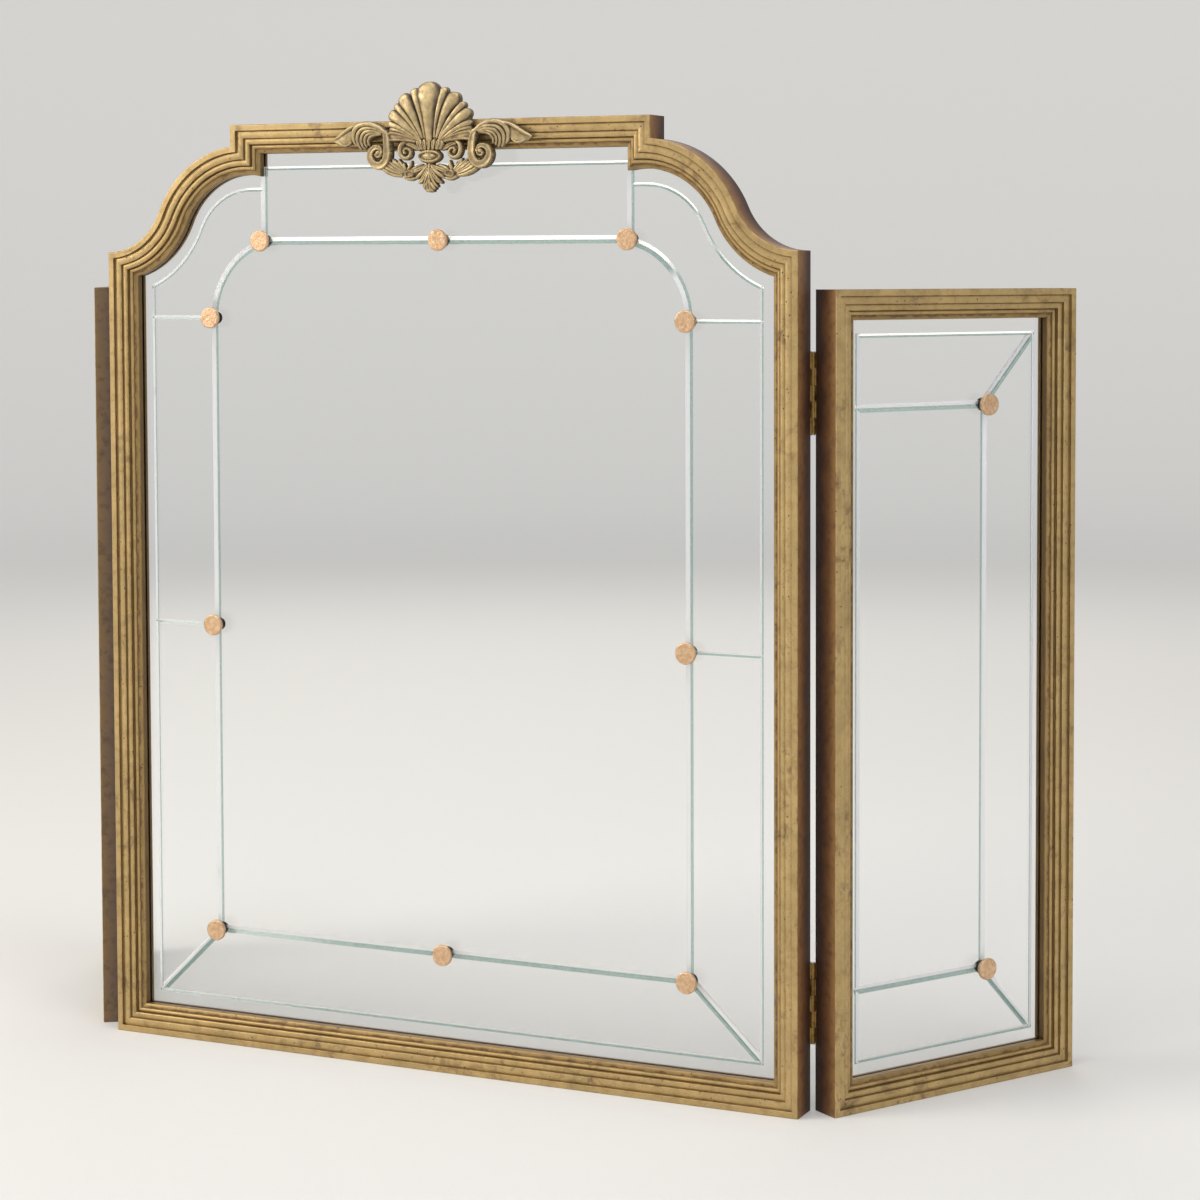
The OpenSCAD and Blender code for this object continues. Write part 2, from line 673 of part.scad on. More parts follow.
// Leaves of the collar under the shell, as [x, share of the full height], and the oval button
// below it. A leaf is drawn in rows of [share of x, z, width, height, length].
collar_leaves = [[0, 1], [4.2, 0.95], [8.2, 0.85], [11.2, 0.6]];
collar_rows = [[0.93, -20, 3, 8, 3], [1, -24.5, 3.6, 8.4, 2.4], [1.02, -27, 1.2, 6, 1]];
module collar_leaf(x, share) hull() for (row = collar_rows)
    translate(crest_point([x * row[0], row[1]], share * row[3] / 2))
        cube([row[2] * crest_u, row[3] * share * relief_u, row[4] * crest_u], center = true);
button_at = [5, -33];
button_r = 6.6;
button_h = 8.8;
module crest_collar() {
    for (leaf = collar_leaves) {
        collar_leaf(leaf[0], leaf[1]);
        if (leaf[0] > 0) collar_leaf(-leaf[0], leaf[1]);
    }
    hull() for (side = [-1, 1])
        boss_at([side * button_at[0], button_at[1]], button_r, button_h, 0.75);
}

// A C-scroll: the band that comes down from the root of the fluted leaf and winds into a volute
scroll = [
    [46.3, -12, 2.4, 6.6], [45, -18, 3.2, 7.6], [44, -25, 3.5, 8], [43.8, -31.5, 3.5, 8],
    [45.6, -37.4, 3.6, 7.8], [50.8, -41.4, 3.6, 7.6], [56.8, -40.6, 3.5, 7.6], [61.2, -36.6, 3.3, 7.4],
    [62.8, -31.2, 3.1, 7.2], [60.8, -26.2, 2.9, 7.2], [56, -23.8, 2.6, 7.2], [51.3, -25, 2.3, 7.4],
    [49.2, -28.8, 2, 7.6], [50.8, -32.5, 1.8, 7.8], [54.2, -32.9, 1.6, 8], [55.2, -30, 1.9, 8.6],
];
small_scroll = [
    [28.6, -20.5, 2, 5], [31.3, -24.2, 2.2, 5.8], [31.9, -29, 2.3, 6.2], [29.4, -33.2, 2.2, 6.2],
    [25, -34.8, 2, 6.2], [21, -33, 1.9, 6.2], [19.6, -29.3, 1.7, 6.2], [21.6, -26.4, 1.5, 6.4],
    [24.9, -26.3, 1.4, 6.6], [26, -29, 1.8, 7.2],
];
module crest_scroll() {
    band(scroll);
    band(small_scroll);
    // Floors of the two volutes
    boss_at([55.5, -31.5], 8.2, 4.4);
    boss_at([25.6, -29.8], 6.4, 3.8);
}

// The fluted leaf that arches over the scroll, and the pointed leaf that it throws outwards
flutes = [
    [[45.6, -11.6, 1.8, 7], [53, -6.3, 2.3, 8], [62, -3.2, 2.6, 8.4], [70.6, -3.2, 2.8, 8.2],
     [77.6, -6.4, 2.8, 7.6], [80.8, -12.2, 2.5, 6.8], [80.2, -18.8, 1.9, 5.4]],
    [[50, -9.8, 1.8, 7.6], [62, -6.4, 2.3, 8.2], [69.6, -6.9, 2.4, 8], [75, -10.6, 2.4, 7.4],
     [77, -15.9, 2.2, 6.6], [76.2, -22.6, 1.5, 5]],
    [[52, -10.6, 1.6, 7.2], [62, -9, 2.1, 7.8], [68, -10, 2.2, 7.6], [72, -13.8, 2.1, 7],
     [73.2, -18.4, 1.9, 6.2], [72.2, -24, 1.4, 4.6]],
    [[54, -11.2, 1.4, 6.8], [62, -11.3, 1.9, 7.2], [66.4, -13, 2, 7], [69.2, -16.4, 1.9, 6.4],
     [69.4, -21.8, 1.3, 5]],
    [[51, -12.4, 1.2, 6], [57, -12.4, 1.5, 6.2], [62, -13.8, 1.8, 6.4], [64.8, -16.4, 1.8, 6.2],
     [65.6, -21.2, 1.3, 4.4]],
];
pointed_leaf = [
    [[79, -8, 4.4, 4.6], [85.5, -12.8, 5.8, 4.8], [91.5, -16.4, 5, 4.4], [97.5, -18, 3, 3.8],
     [102.6, -17.4, 1.2, 3]],
    [[77, -3.6, 1.5, 7], [83.5, -6, 1.7, 6.8], [90, -9.8, 1.7, 6.2], [96.5, -13.8, 1.5, 5.4],
     [103, -16.8, 1, 4]],
];
module crest_leaves() {
    for (rows = flutes) band(rows);
    for (rows = pointed_leaf) band(rows);
    // Body behind the flutes
    band([[49, -11, 2.5, 5], [57, -8.2, 4, 5.6], [66, -8, 5.2, 5.8], [74, -12.6, 6, 5.2]], ridged_front);
}

// The garland of long leaves that hangs from scroll to scroll, with a bud on each side
garland = [
    [[53, -38.5, 1.6, 6], [49, -41.7, 2.6, 7], [43.5, -45.7, 3, 7.4], [36.5, -48.9, 2.8, 7],
     [30, -50.4, 2.1, 6.4]],
    [[50.4, -37.4, 1.4, 5.8], [45, -41, 2.1, 6.6], [38.5, -45.1, 2.4, 7], [30, -48.6, 1.8, 6.2]],
    [[44.4, -38.2, 1.3, 5.6], [39.5, -41.6, 2.1, 6.4], [28, -47.2, 1.8, 6.2]],
    [[39.8, -37.2, 1.2, 5.2], [35.5, -40.6, 2, 6.2], [26.5, -46.2, 1.6, 6]],
    [[32.6, -38.4, 1.2, 5], [30, -41, 1.8, 6], [27, -44.6, 1.6, 6]],
    [[20.4, -38.4, 1.2, 5], [21.4, -41.6, 1.9, 5.8], [23, -45, 1.8, 6]],
    [[3, -41.5, 1.6, 6.4], [8.5, -45.2, 2.1, 6.8], [17.5, -48.6, 1.8, 6.6]],
    [[2.2, -43, 1.5, 6.6], [6.8, -49.2, 2.4, 7], [12, -55.8, 1.7, 5.8]],
    [[1.4, -46, 1.4, 6.8], [4.6, -53, 2.2, 7.2], [7.6, -60.2, 1.6, 5.6]],
    [[17, -52.6, 2.2, 6.2], [21, -53.2, 2.2, 6.2], [25, -52.4, 2, 5.8]],
    [[9, -42, 1.6, 5.4], [15, -43.6, 2.2, 5.6], [22, -46, 2.2, 5.6]],
];
module crest_garland() {
    for (rows = garland) band(rows);
    // Bud
    hull() for (p = [[19.3, -48.7], [22.6, -49.4]]) boss_at(p, 3.8, 8, 0.55);
}

// The stem and the lobed leaf that hang below the button
module crest_pendant() {
    band([[0, -41, 1.8, 7], [0, -48, 2.4, 7.6], [0, -55, 2.2, 8.2]]);
    band([[0, -56, 1.8, 8.4], [0, -60, 3.4, 8.8], [0, -62.9, 4.4, 7.8]]);
    both() band([[2.6, -59, 1.6, 7.6], [4.8, -63.2, 2, 6.6]]);
}

// Boss behind the shell that seats on the top rail round a screw
crest_screw_depth = 4.5;
boss_r = 5;
module crest_boss() difference() {
    turned_forward([crest_screw_x, crest_screw_z], lip_d)
        cylinder(r = boss_r, h = lip_d + crest_screw_depth, $fn = 20);
    translate([0, -crest_gap, 0]) length_of(moulding, [half_crown, crown_h], 180, crown_w);
}

// Low web behind the ornament that joins its parts
module crest_web() {
    both() band([[41, -14, 3, 4.4], [49, -11.6, 2.6, 5]], ridged_front);
    both() band([[52, -40.5, 2.4, 4.6], [44, -44.5, 3, 4.9], [34, -47.5, 3.2, 5.1],
                 [24, -48.6, 3.2, 5], [13, -47, 3, 4.8], [2, -44.4, 2.4, 4.6]], ridged_front);
    band([[0, -21, 9, 4], [0, -30, 6, 4.2], [0, -44, 3.2, 4.7], [0, -57, 3.6, 4.4]], ridged_front);
}

module crest() color(cast_gold) difference() {
    union() {
        intersection() {
            union() {
                crest_shell();
                crest_collar();
                both() {
                    crest_scroll();
                    crest_leaves();
                    crest_garland();
                }
                crest_pendant();
                crest_web();
            }
            // Everything in front of the frame
            translate([-crest_w, -frame_t / 2 - crest_gap - frame_t, crown_h - crest_w])
                cube([2 * crest_w, frame_t, 2 * crest_w]);
        }
        both() crest_boss();
    }
    both() turned_forward([crest_screw_x, crest_screw_z], frame_t)
        cylinder(r = crest_screw_r + fit, h = frame_t + crest_screw_depth + fit, $fn = 16);
}

module crest_screw(r, head_r) turned_forward([crest_screw_x, crest_screw_z], frame_t) {
    cylinder(r = r, h = frame_t + crest_screw_depth);
    cylinder(r1 = head_r, r2 = r, h = crest_screw_head_r - crest_screw_r);
}
module crest_screws() color(steel) both() crest_screw(crest_screw_r, crest_screw_head_r);

// Centre panel
module centre_stile_right() color(gold) difference() {
    stile_piece(moulding);
    hinge_seats();
    centre_right_brads(hole_r);
}
module centre_stile_left() mirror([1, 0, 0]) centre_stile_right();
module centre_bottom_rail() color(gold) difference() {
    bottom_piece(moulding);
    centre_bottom_brads(hole_r);
}
module centre_top_rail() color(gold) difference() {
    top_piece(moulding);
    both() crest_screw(crest_screw_r + fit, crest_screw_head_r + fit);
    centre_top_brads(hole_r);
}
module centre_step_right() color(gold) step_piece(moulding);
module centre_step_left() mirror([1, 0, 0]) centre_step_right();
module centre_shoulder_right() color(gold) shoulder_piece(moulding);
module centre_shoulder_left() mirror([1, 0, 0]) centre_shoulder_right();

module centre_bead_right() color(gold) difference() {
    stile_piece(bead);
    centre_right_brads(hole_r);
}
module centre_bead_left() mirror([1, 0, 0]) centre_bead_right();
module centre_bead_bottom() color(gold) difference() {
    bottom_piece(bead);
    centre_bottom_brads(hole_r);
}
module centre_bead_top() color(gold) difference() {
    union() {
        top_piece(bead);
        both() step_piece(bead);
    }
    centre_top_brads(hole_r);
}
module centre_bead_shoulder_right() color(gold) shoulder_piece(bead);
module centre_bead_shoulder_left() mirror([1, 0, 0]) centre_bead_shoulder_right();
module centre_brads() color(steel) {
    centre_bottom_brads();
    centre_top_brads();
    both() centre_right_brads();
}

// Wings, drawn for the right and mirrored for the left
module wing_hinge_stile() color(gold) difference() {
    wing_near(moulding);
    wing_hinge_seats();
    wing_side_brads(hole_r);
}
module wing_outer_stile() color(gold) difference() {
    wing_far(moulding);
    wing_side_brads(hole_r);
}
module wing_top_rail() color(gold) difference() {
    wing_top(moulding);
    wing_end_brads(hole_r);
}
module wing_bottom_rail() color(gold) difference() {
    wing_bottom(moulding);
    wing_end_brads(hole_r);
}
module wing_side_beads() color(gold) difference() {
    union() {
        wing_near(bead);
        wing_far(bead);
    }
    wing_side_brads(hole_r);
}
module wing_end_beads() color(gold) difference() {
    union() {
        wing_top(bead);
        wing_bottom(bead);
    }
    wing_end_brads(hole_r);
}
module wing_brads() color(steel) {
    wing_side_brads();
    wing_end_brads();
}
module centre_leaf(z) at_hinge(z) leaf(fixed_knuckles);
module wing_leaf(z) at_hinge(z) moving() leaf(moving_knuckles);
module wing_screws() color(steel) for (z = hinge_zs) at_hinge(z) moving()
    at_leaf_screws() leaf_screw();
module hinge_screws_centre() color(steel) both() for (z = hinge_zs) at_hinge(z)
    at_leaf_screws() leaf_screw();
module pins() for (z = hinge_zs) at_hinge(z) pin();

centre_stile_left();
centre_stile_right();
centre_bottom_rail();
centre_top_rail();
centre_step_left();
centre_step_right();
centre_shoulder_left();
centre_shoulder_right();
centre_glass();
medallions(centre_medallion_at);  // centre_medallions
washers(centre_medallion_at);  // centre_washers
nuts(centre_medallion_at);  // centre_nuts
centre_bead_left();
centre_bead_right();
centre_bead_bottom();
centre_bead_top();
centre_bead_shoulder_left();
centre_bead_shoulder_right();
centre_brads();
crest();
crest_screws();
mirror([1, 0, 0]) centre_leaf(upper_hinge_z);  // hinge_leaf_left_upper
mirror([1, 0, 0]) centre_leaf(lower_hinge_z);  // hinge_leaf_left_lower
centre_leaf(upper_hinge_z);  // hinge_leaf_right_upper
centre_leaf(lower_hinge_z);  // hinge_leaf_right_lower
mirror([1, 0, 0]) pins();  // hinge_pins_left
pins();  // hinge_pins_right
hinge_screws_centre();
on_left() wing_hinge_stile();  // left_wing_hinge_stile
on_left() wing_outer_stile();  // left_wing_outer_stile
on_left() wing_top_rail();  // left_wing_top_rail
on_left() wing_bottom_rail();  // left_wing_bottom_rail
on_left() wing_pane();  // left_wing_glass
on_left() medallions(wing_medallion_at);  // left_wing_medallions
on_left() washers(wing_medallion_at);  // left_wing_washers
on_left() nuts(wing_medallion_at);  // left_wing_nuts
on_left() wing_side_beads();  // left_wing_side_beads
on_left() wing_end_beads();  // left_wing_end_beads
on_left() wing_brads();  // left_wing_brads
mirror([1, 0, 0]) wing_leaf(upper_hinge_z);  // left_wing_leaf_upper
mirror([1, 0, 0]) wing_leaf(lower_hinge_z);  // left_wing_leaf_lower
mirror([1, 0, 0]) wing_screws();  // left_wing_screws
on_right() wing_hinge_stile();  // right_wing_hinge_stile
on_right() wing_outer_stile();  // right_wing_outer_stile
on_right() wing_top_rail();  // right_wing_top_rail
on_right() wing_bottom_rail();  // right_wing_bottom_rail
on_right() wing_pane();  // right_wing_glass
on_right() medallions(wing_medallion_at);  // right_wing_medallions
on_right() washers(wing_medallion_at);  // right_wing_washers
on_right() nuts(wing_medallion_at);  // right_wing_nuts
on_right() wing_side_beads();  // right_wing_side_beads
on_right() wing_end_beads();  // right_wing_end_beads
on_right() wing_brads();  // right_wing_brads
wing_leaf(upper_hinge_z);  // right_wing_leaf_upper
wing_leaf(lower_hinge_z);  // right_wing_leaf_lower
wing_screws();  // right_wing_screws
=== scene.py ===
# %% [markdown]
# # A folding fireplace screen in gilt wood and cut glass
# The screen has three panels. Each is a mitred wooden frame, gessoed and gilded, round one pane of
# clear glass with V-grooves cut into its face. Small hammered medallions sit where the grooves
# cross, and a cast shell crest is screwed to the top of the middle panel.
# The exact solids come from the CAD model. This lesson gives them their finishes, models the crest
# and the medallions more finely, and sets up the camera, the floor and the light.

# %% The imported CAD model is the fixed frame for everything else
import math
from functools import partial

import bpy
import numpy as np
from mathutils import Matrix, Vector


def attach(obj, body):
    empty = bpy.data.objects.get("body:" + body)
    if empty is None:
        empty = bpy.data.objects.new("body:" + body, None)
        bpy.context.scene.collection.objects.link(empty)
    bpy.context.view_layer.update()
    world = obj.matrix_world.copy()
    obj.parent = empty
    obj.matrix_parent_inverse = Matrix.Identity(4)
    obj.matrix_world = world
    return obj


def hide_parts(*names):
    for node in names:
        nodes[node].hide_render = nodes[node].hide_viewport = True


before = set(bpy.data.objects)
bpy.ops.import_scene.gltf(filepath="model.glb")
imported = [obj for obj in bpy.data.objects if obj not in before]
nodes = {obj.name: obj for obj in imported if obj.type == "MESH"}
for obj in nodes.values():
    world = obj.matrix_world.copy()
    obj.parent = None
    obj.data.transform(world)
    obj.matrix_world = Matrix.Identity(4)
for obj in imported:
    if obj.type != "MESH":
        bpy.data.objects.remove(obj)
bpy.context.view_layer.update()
mm = 0.001

# %% [markdown]
# ## Small helpers
# Colours are written as the hex values that a paint chart or a picture would show, in sRGB.
# Blender's shaders work in linear light, so one function turns the one into the other.
# One more function adds any node with its settings and links, which keeps each material below as
# short as a recipe. A new material or tree comes with that function already tied to it, as "add".

# %% Colours from sRGB hex
def linear(hex_colour):
    parts = [int(hex_colour[i:i + 2], 16) / 255 for i in (1, 3, 5)]
    return tuple(p / 12.92 if p <= 0.04045 else ((p + 0.055) / 1.055) ** 2.4 for p in parts) + (1.0,)


print("old gold in linear light:", [round(c, 3) for c in linear("#B8945A")])

# %% One function adds any node
def add_node(tree, kind, inputs=(), stops=(), **settings):
    """Adds a node; Math stands for ShaderNodeMath. The inputs come in a list, or by name or number.
    Each is a value, a hex colour, or the socket or node that feeds it, and a node gives its first
    output in use. The stops of a colour ramp are (position, hex colour)."""
    node = tree.nodes.new(kind if "Node" in kind else "ShaderNode" + kind)
    for name, value in settings.items():
        setattr(node, name, value)
    for name, value in inputs.items() if isinstance(inputs, dict) else enumerate(inputs):
        if isinstance(value, bpy.types.Node):
            value = next(socket for socket in value.outputs if socket.enabled)
        if isinstance(value, bpy.types.NodeSocket):
            tree.links.new(value, node.inputs[name])
        else:
            node.inputs[name].default_value = linear(value) if str(value).startswith("#") else value
    if stops:
        elements = node.color_ramp.elements
        while len(elements) < len(stops):
            elements.new(0.5)
        for element, (position, colour) in zip(elements, stops):
            element.position, element.color = position, linear(colour)
    return node


def new_material(name):
    """An empty material, and add_node tied to its tree."""
    material = bpy.data.materials.new(name)
    material.use_nodes = True
    material.node_tree.nodes.clear()
    return material, partial(add_node, material.node_tree)


def surfaced(material, add, inputs):
    """The material, with a Principled surface that has these inputs."""
    add("OutputMaterial", {"Surface": add("BsdfPrincipled", inputs)})
    return material


# %% [markdown]
# ## The camera
# The photograph was taken from a little right of the middle, at the height of the shoulders, and
# cropped. Its focal length, place and turn were found by fitting the straight edges of the frames.
# The crop shows as a shift of the lens, which keeps upright edges upright.


# %% Camera at the photograph's viewing angle
photo_side = 1200
focal_px, centre_px = 2730.6, (758.6, 407.0)
camera_at = Vector((1262.5, -2197.95, 746.6)) * mm
yaw, pitch, roll = math.radians(23.258), math.radians(-2.911), math.radians(-0.03)

camera_data = bpy.data.cameras.new("camera")
camera_data.sensor_width = 36
camera_data.lens = focal_px / photo_side * camera_data.sensor_width
camera_data.shift_x = (photo_side / 2 - centre_px[0]) / photo_side
camera_data.shift_y = (centre_px[1] - photo_side / 2) / photo_side
camera_data.clip_start, camera_data.clip_end = 0.05, 60
camera = bpy.data.objects.new("camera", camera_data)
bpy.context.scene.collection.objects.link(camera)
camera.matrix_world = (Matrix.Translation(camera_at) @ Matrix.Rotation(yaw, 4, "Z")
                       @ Matrix.Rotation(math.pi / 2 + pitch, 4, "X") @ Matrix.Rotation(roll, 4, "Z"))
bpy.context.scene.camera = camera
print("lens", round(camera_data.lens, 1), "mm")

# %% [markdown]
# ## Floor, backdrop and light
# The screen stands in the middle of a round cove: a pale floor that curves up into a wall all round,
# so no line shows where they meet, and every side of the screen can be looked at. The camera and
# the lamps stand inside it. It is pale because its colour is pale.
# What the camera, a reflection or the glass sees of it is lifted a little with Light Path, which
# adds no light to the object itself.

# %% A round cove for floor and backdrop
floor_radius, bend_radius, cove_height, cove_sides = 5.5, 2.5, 7.0, 96


def turned_sheet(name, rings):
    """A sheet turned round the upright axis from (radius, height) rings, seen from inside."""
    turns = np.linspace(0, 2 * math.pi, cove_sides, endpoint=False)
    corners = [(r * math.cos(a), r * math.sin(a), z) for r, z in rings for a in turns]
    faces = [(i * cove_sides + k, (i + 1) * cove_sides + k,
              (i + 1) * cove_sides + (k + 1) % cove_sides, i * cove_sides + (k + 1) % cove_sides)
             for i in range(len(rings) - 1) for k in range(cove_sides)]
    if rings[0][0] < 1:
        # The floor's small inmost ring is closed with one face
        faces.append(tuple(range(cove_sides)))
    mesh = bpy.data.meshes.new(name)
    mesh.from_pydata(corners, [], faces)
    mesh.polygons.foreach_set("use_smooth", [True] * len(faces))
    sheet = bpy.data.objects.new(name, mesh)
    bpy.context.scene.collection.objects.link(sheet)
    return sheet


floor_sheet = turned_sheet("floor_sheet", [(floor_radius * share, 0.0) for share in (0.1, 0.5, 1.0)])
bend = [(floor_radius + bend_radius * math.sin(a), bend_radius * (1 - math.cos(a)))
        for a in np.linspace(0, math.pi / 2, 25)]
wall_sheet = turned_sheet("wall_sheet", bend + [(floor_radius + bend_radius, cove_height)])
# The wall is there to be seen: the light of the world passes it and reaches the screen
wall_sheet.visible_diffuse = wall_sheet.visible_shadow = False
print("paper cove", 2 * (floor_radius + bend_radius), "m wide")

# %% Matt paper for both sheets
def matt_paper():
    material, add = new_material("pale_matt_paper")
    place = add("TexCoord").outputs["Object"]
    # Its grain is a little over a millimetre wide
    grain = add("TexNoise", {"Vector": place, "Scale": 900, "Detail": 2})
    colour = add("ValToRGB", [grain], [(0.3, "#DEDCD8"), (0.7, "#E6E4E0")])
    surface = add("BsdfPrincipled", {"Base Color": colour, "Roughness": 0.85})
    path = add("LightPath").outputs
    seen = add("Math", [path["Is Camera Ray"], path["Is Glossy Ray"]], operation="MAXIMUM")
    seen = add("Math", [seen, path["Is Transmission Ray"]], operation="MAXIMUM")
    # The lamps light the paper less the farther it is from them, so it is lifted more there
    far_off = add("VectorMath", [place], operation="LENGTH")
    share = add("MapRange", [far_off, 2.5, 8.0, 0.10, 0.30])
    lift = add("Math", [seen, share], operation="MULTIPLY")
    glow = add("Emission", {"Color": "#F2F1EE", "Strength": lift})
    add("OutputMaterial", {"Surface": add("AddShader", [surface, glow])})
    return material


paper = matt_paper()
for sheet in (floor_sheet, wall_sheet):
    sheet.data.materials.append(paper)
print("paper on", floor_sheet.name, "and", wall_sheet.name)

# %% Soft boxes and a plain world
def soft_box(name, at, aim, size, watts, tint="#FFFFFF"):
    light = bpy.data.lights.new(name, "AREA")
    light.shape, light.size, light.size_y = "RECTANGLE", size[0], size[1]
    light.energy, light.color = watts, linear(tint)[:3]
    lamp = bpy.data.objects.new(name, light)
    lamp.location = at
    lamp.rotation_euler = (Vector(aim) - Vector(at)).to_track_quat("-Z", "Y").to_euler()
    lamp.visible_camera = False
    bpy.context.scene.collection.objects.link(lamp)


soft_box("window_side", (-2.6, -2.0, 1.9), (0, 0, 0.45), (1.6, 2.2), 62, "#FFF8EE")
soft_box("overhead", (0.3, -0.6, 3.0), (0, 0.1, 0.3), (2.4, 1.6), 34)
soft_box("right_fill", (2.8, -1.6, 1.2), (0.2, 0, 0.4), (1.2, 1.8), 14, "#EEF3FF")
soft_box("back_fill", (-1.2, 3.0, 2.2), (0, 0, 0.45), (2.2, 1.6), 22, "#FFF8EE")

world = bpy.data.worlds.new("studio")
world.use_nodes = True
world.node_tree.nodes.clear()
sky = add_node(world.node_tree, "Background", {"Color": "#F4F5F7", "Strength": 0.5})
add_node(world.node_tree, "OutputWorld", {"Surface": sky})
bpy.context.scene.world = world
bpy.context.scene.view_settings.view_transform = "Standard"
print("four soft boxes and an even world")

# %% [markdown]
# ## Gilded wood
# The mouldings are gilded over gesso and then antiqued: an umber glaze is wiped on and rubbed off
# again, so it stays in the hollows, in small specks and in cloudy patches, while the crowns of the
# reeds are polished bright. The dark walls and hollows of the reeds are painted shade as well as
# glaze, and their bright crowns are painted highlight as well as polish. The outer edges and the
# back are only painted brown.
# A moulding has the same section everywhere, so how far a point lies behind the front face tells
# which reed or hollow it is on. The material reads that depth from Object coordinates, and so the
# same recipe follows the straight rails and the curved shoulders alike.

# %% How far behind the front of its panel a point lies
frame_depth = 29.5 * mm
hinge_at = (362.0 * mm, 17.75 * mm)
rest_fold = math.radians(58)
sine, cosine = math.sin(rest_fold), math.cos(rest_fold)
wing_offset = hinge_at[1] + sine * hinge_at[0] - cosine * hinge_at[1]
# Which way is backwards on each panel, and what brings the middle of its frame to 0 that way
panels = {
    "centre": ((0.0, 1.0, 0.0), 0.0),
    "right_wing": ((-sine, cosine, 0.0), wing_offset),
    "left_wing": ((sine, cosine, 0.0), wing_offset),
}


def depth_and_facing(add, coords, panel):
    """The depth behind the panel's front in mm, and how far the surface faces back."""
    backwards, offset = panels[panel]
    along = add("VectorMath", [coords["Object"], backwards], operation="DOT_PRODUCT")
    depth = add("Math", [along, 1000.0, (offset + frame_depth / 2) * 1000], operation="MULTIPLY_ADD")
    return depth, add("VectorMath", [coords["Normal"], backwards], operation="DOT_PRODUCT")


print("the wings are folded", round(math.degrees(rest_fold)), "degrees back")

# %% Where the medallions sit, and where the slanting grooves run from them
def seats(node, panel):
    """Where the turned parts of a CAD node sit: [across, z] of each, and the nearest and farthest depth."""
    backwards = np.array(panels[panel][0])
    sideways = np.array((backwards[1], -backwards[0], 0.0))
    mesh = nodes[node].data
    points = np.empty(len(mesh.vertices) * 3)
    mesh.vertices.foreach_get("co", points)
    points = points.reshape(-1, 3)
    flat = np.c_[points @ sideways, points[:, 2]]
    left, centres = np.arange(len(flat)), []
    while len(left):
        near = np.hypot(*(flat[left] - flat[left[0]]).T) < 30 * mm
        group = flat[left[near]]
        centres.append((group.min(0) + group.max(0)) / 2)
        left = left[~near]
    depths = points @ backwards
    return centres, depths.min(), depths.max(), sideways, backwards


# All in mm: how far a slanting groove runs across and up, the middle of a wing's height, and
# what tells the two lower corner medallions of the centre panel from its others
wing_slant, centre_slant = (58, 64), (70, 67)
wing_middle, corners_below, corners_beyond = 364, 200, 100


def diagonals(panel):
    """The slanting grooves from a medallion to a corner: start and run, in mm across and up."""
    lines = []
    for across_at, up_at in np.array(seats(panel + "_medallions", panel)[0]) / mm:
        if panel != "centre":
            run = wing_slant[0] if panel == "right_wing" else -wing_slant[0]
            lines.append((across_at, up_at, run, math.copysign(wing_slant[1], up_at - wing_middle)))
        elif up_at < corners_below and abs(across_at) > corners_beyond:
            run = math.copysign(centre_slant[0], across_at)
            lines.append((across_at, up_at, run, -centre_slant[1]))
    return lines


print({panel: len(diagonals(panel)) for panel in panels}, "slanting grooves")

# %% Small pieces of recipe that the gilded, cast and turned finishes share
def clouds(add, place, size_mm, detail, low, high, to_low=0.0, to_high=1.0, **more):
    """Clouds about size_mm across: the values of a noise from low to high, taken to the other
    range and held at its ends."""
    patches = add("TexNoise", {"Vector": place, "Scale": 1000 / size_mm, "Detail": detail,
                               "Roughness": 0.55, **more})
    return add("MapRange", [patches, low, high, to_low, to_high])


def speckled(add, colour, place, size_mm, spot, share, dark):
    """The colour with small round specks, one in some of the cells of a grid of size_mm."""
    cell = add("TexVoronoi", {"Vector": place, "Scale": 1000 / size_mm})
    chosen = add("Math", [cell.outputs["Color"], share], operation="LESS_THAN")
    near = add("MapRange", [cell, spot * 0.6, spot, 1.0, 0.0])
    speck = add("Math", [near, chosen], operation="MULTIPLY")
    return add("Mix", {0: speck, 6: colour, 7: dark}, data_type="RGBA")


# %% The gilded and antiqued finish
# The brown of the outer edges from front to back. On the left wing it is painted lighter and more mauve, as
# painted sunlight on the edges that face the window
brown_paint = ("#9A7242", "#7A5230", "#4A3024", "#3A2A22")
brown_with_painted_sunlight = ("#8C7048", "#7A6655", "#6E5348", "#54403A")


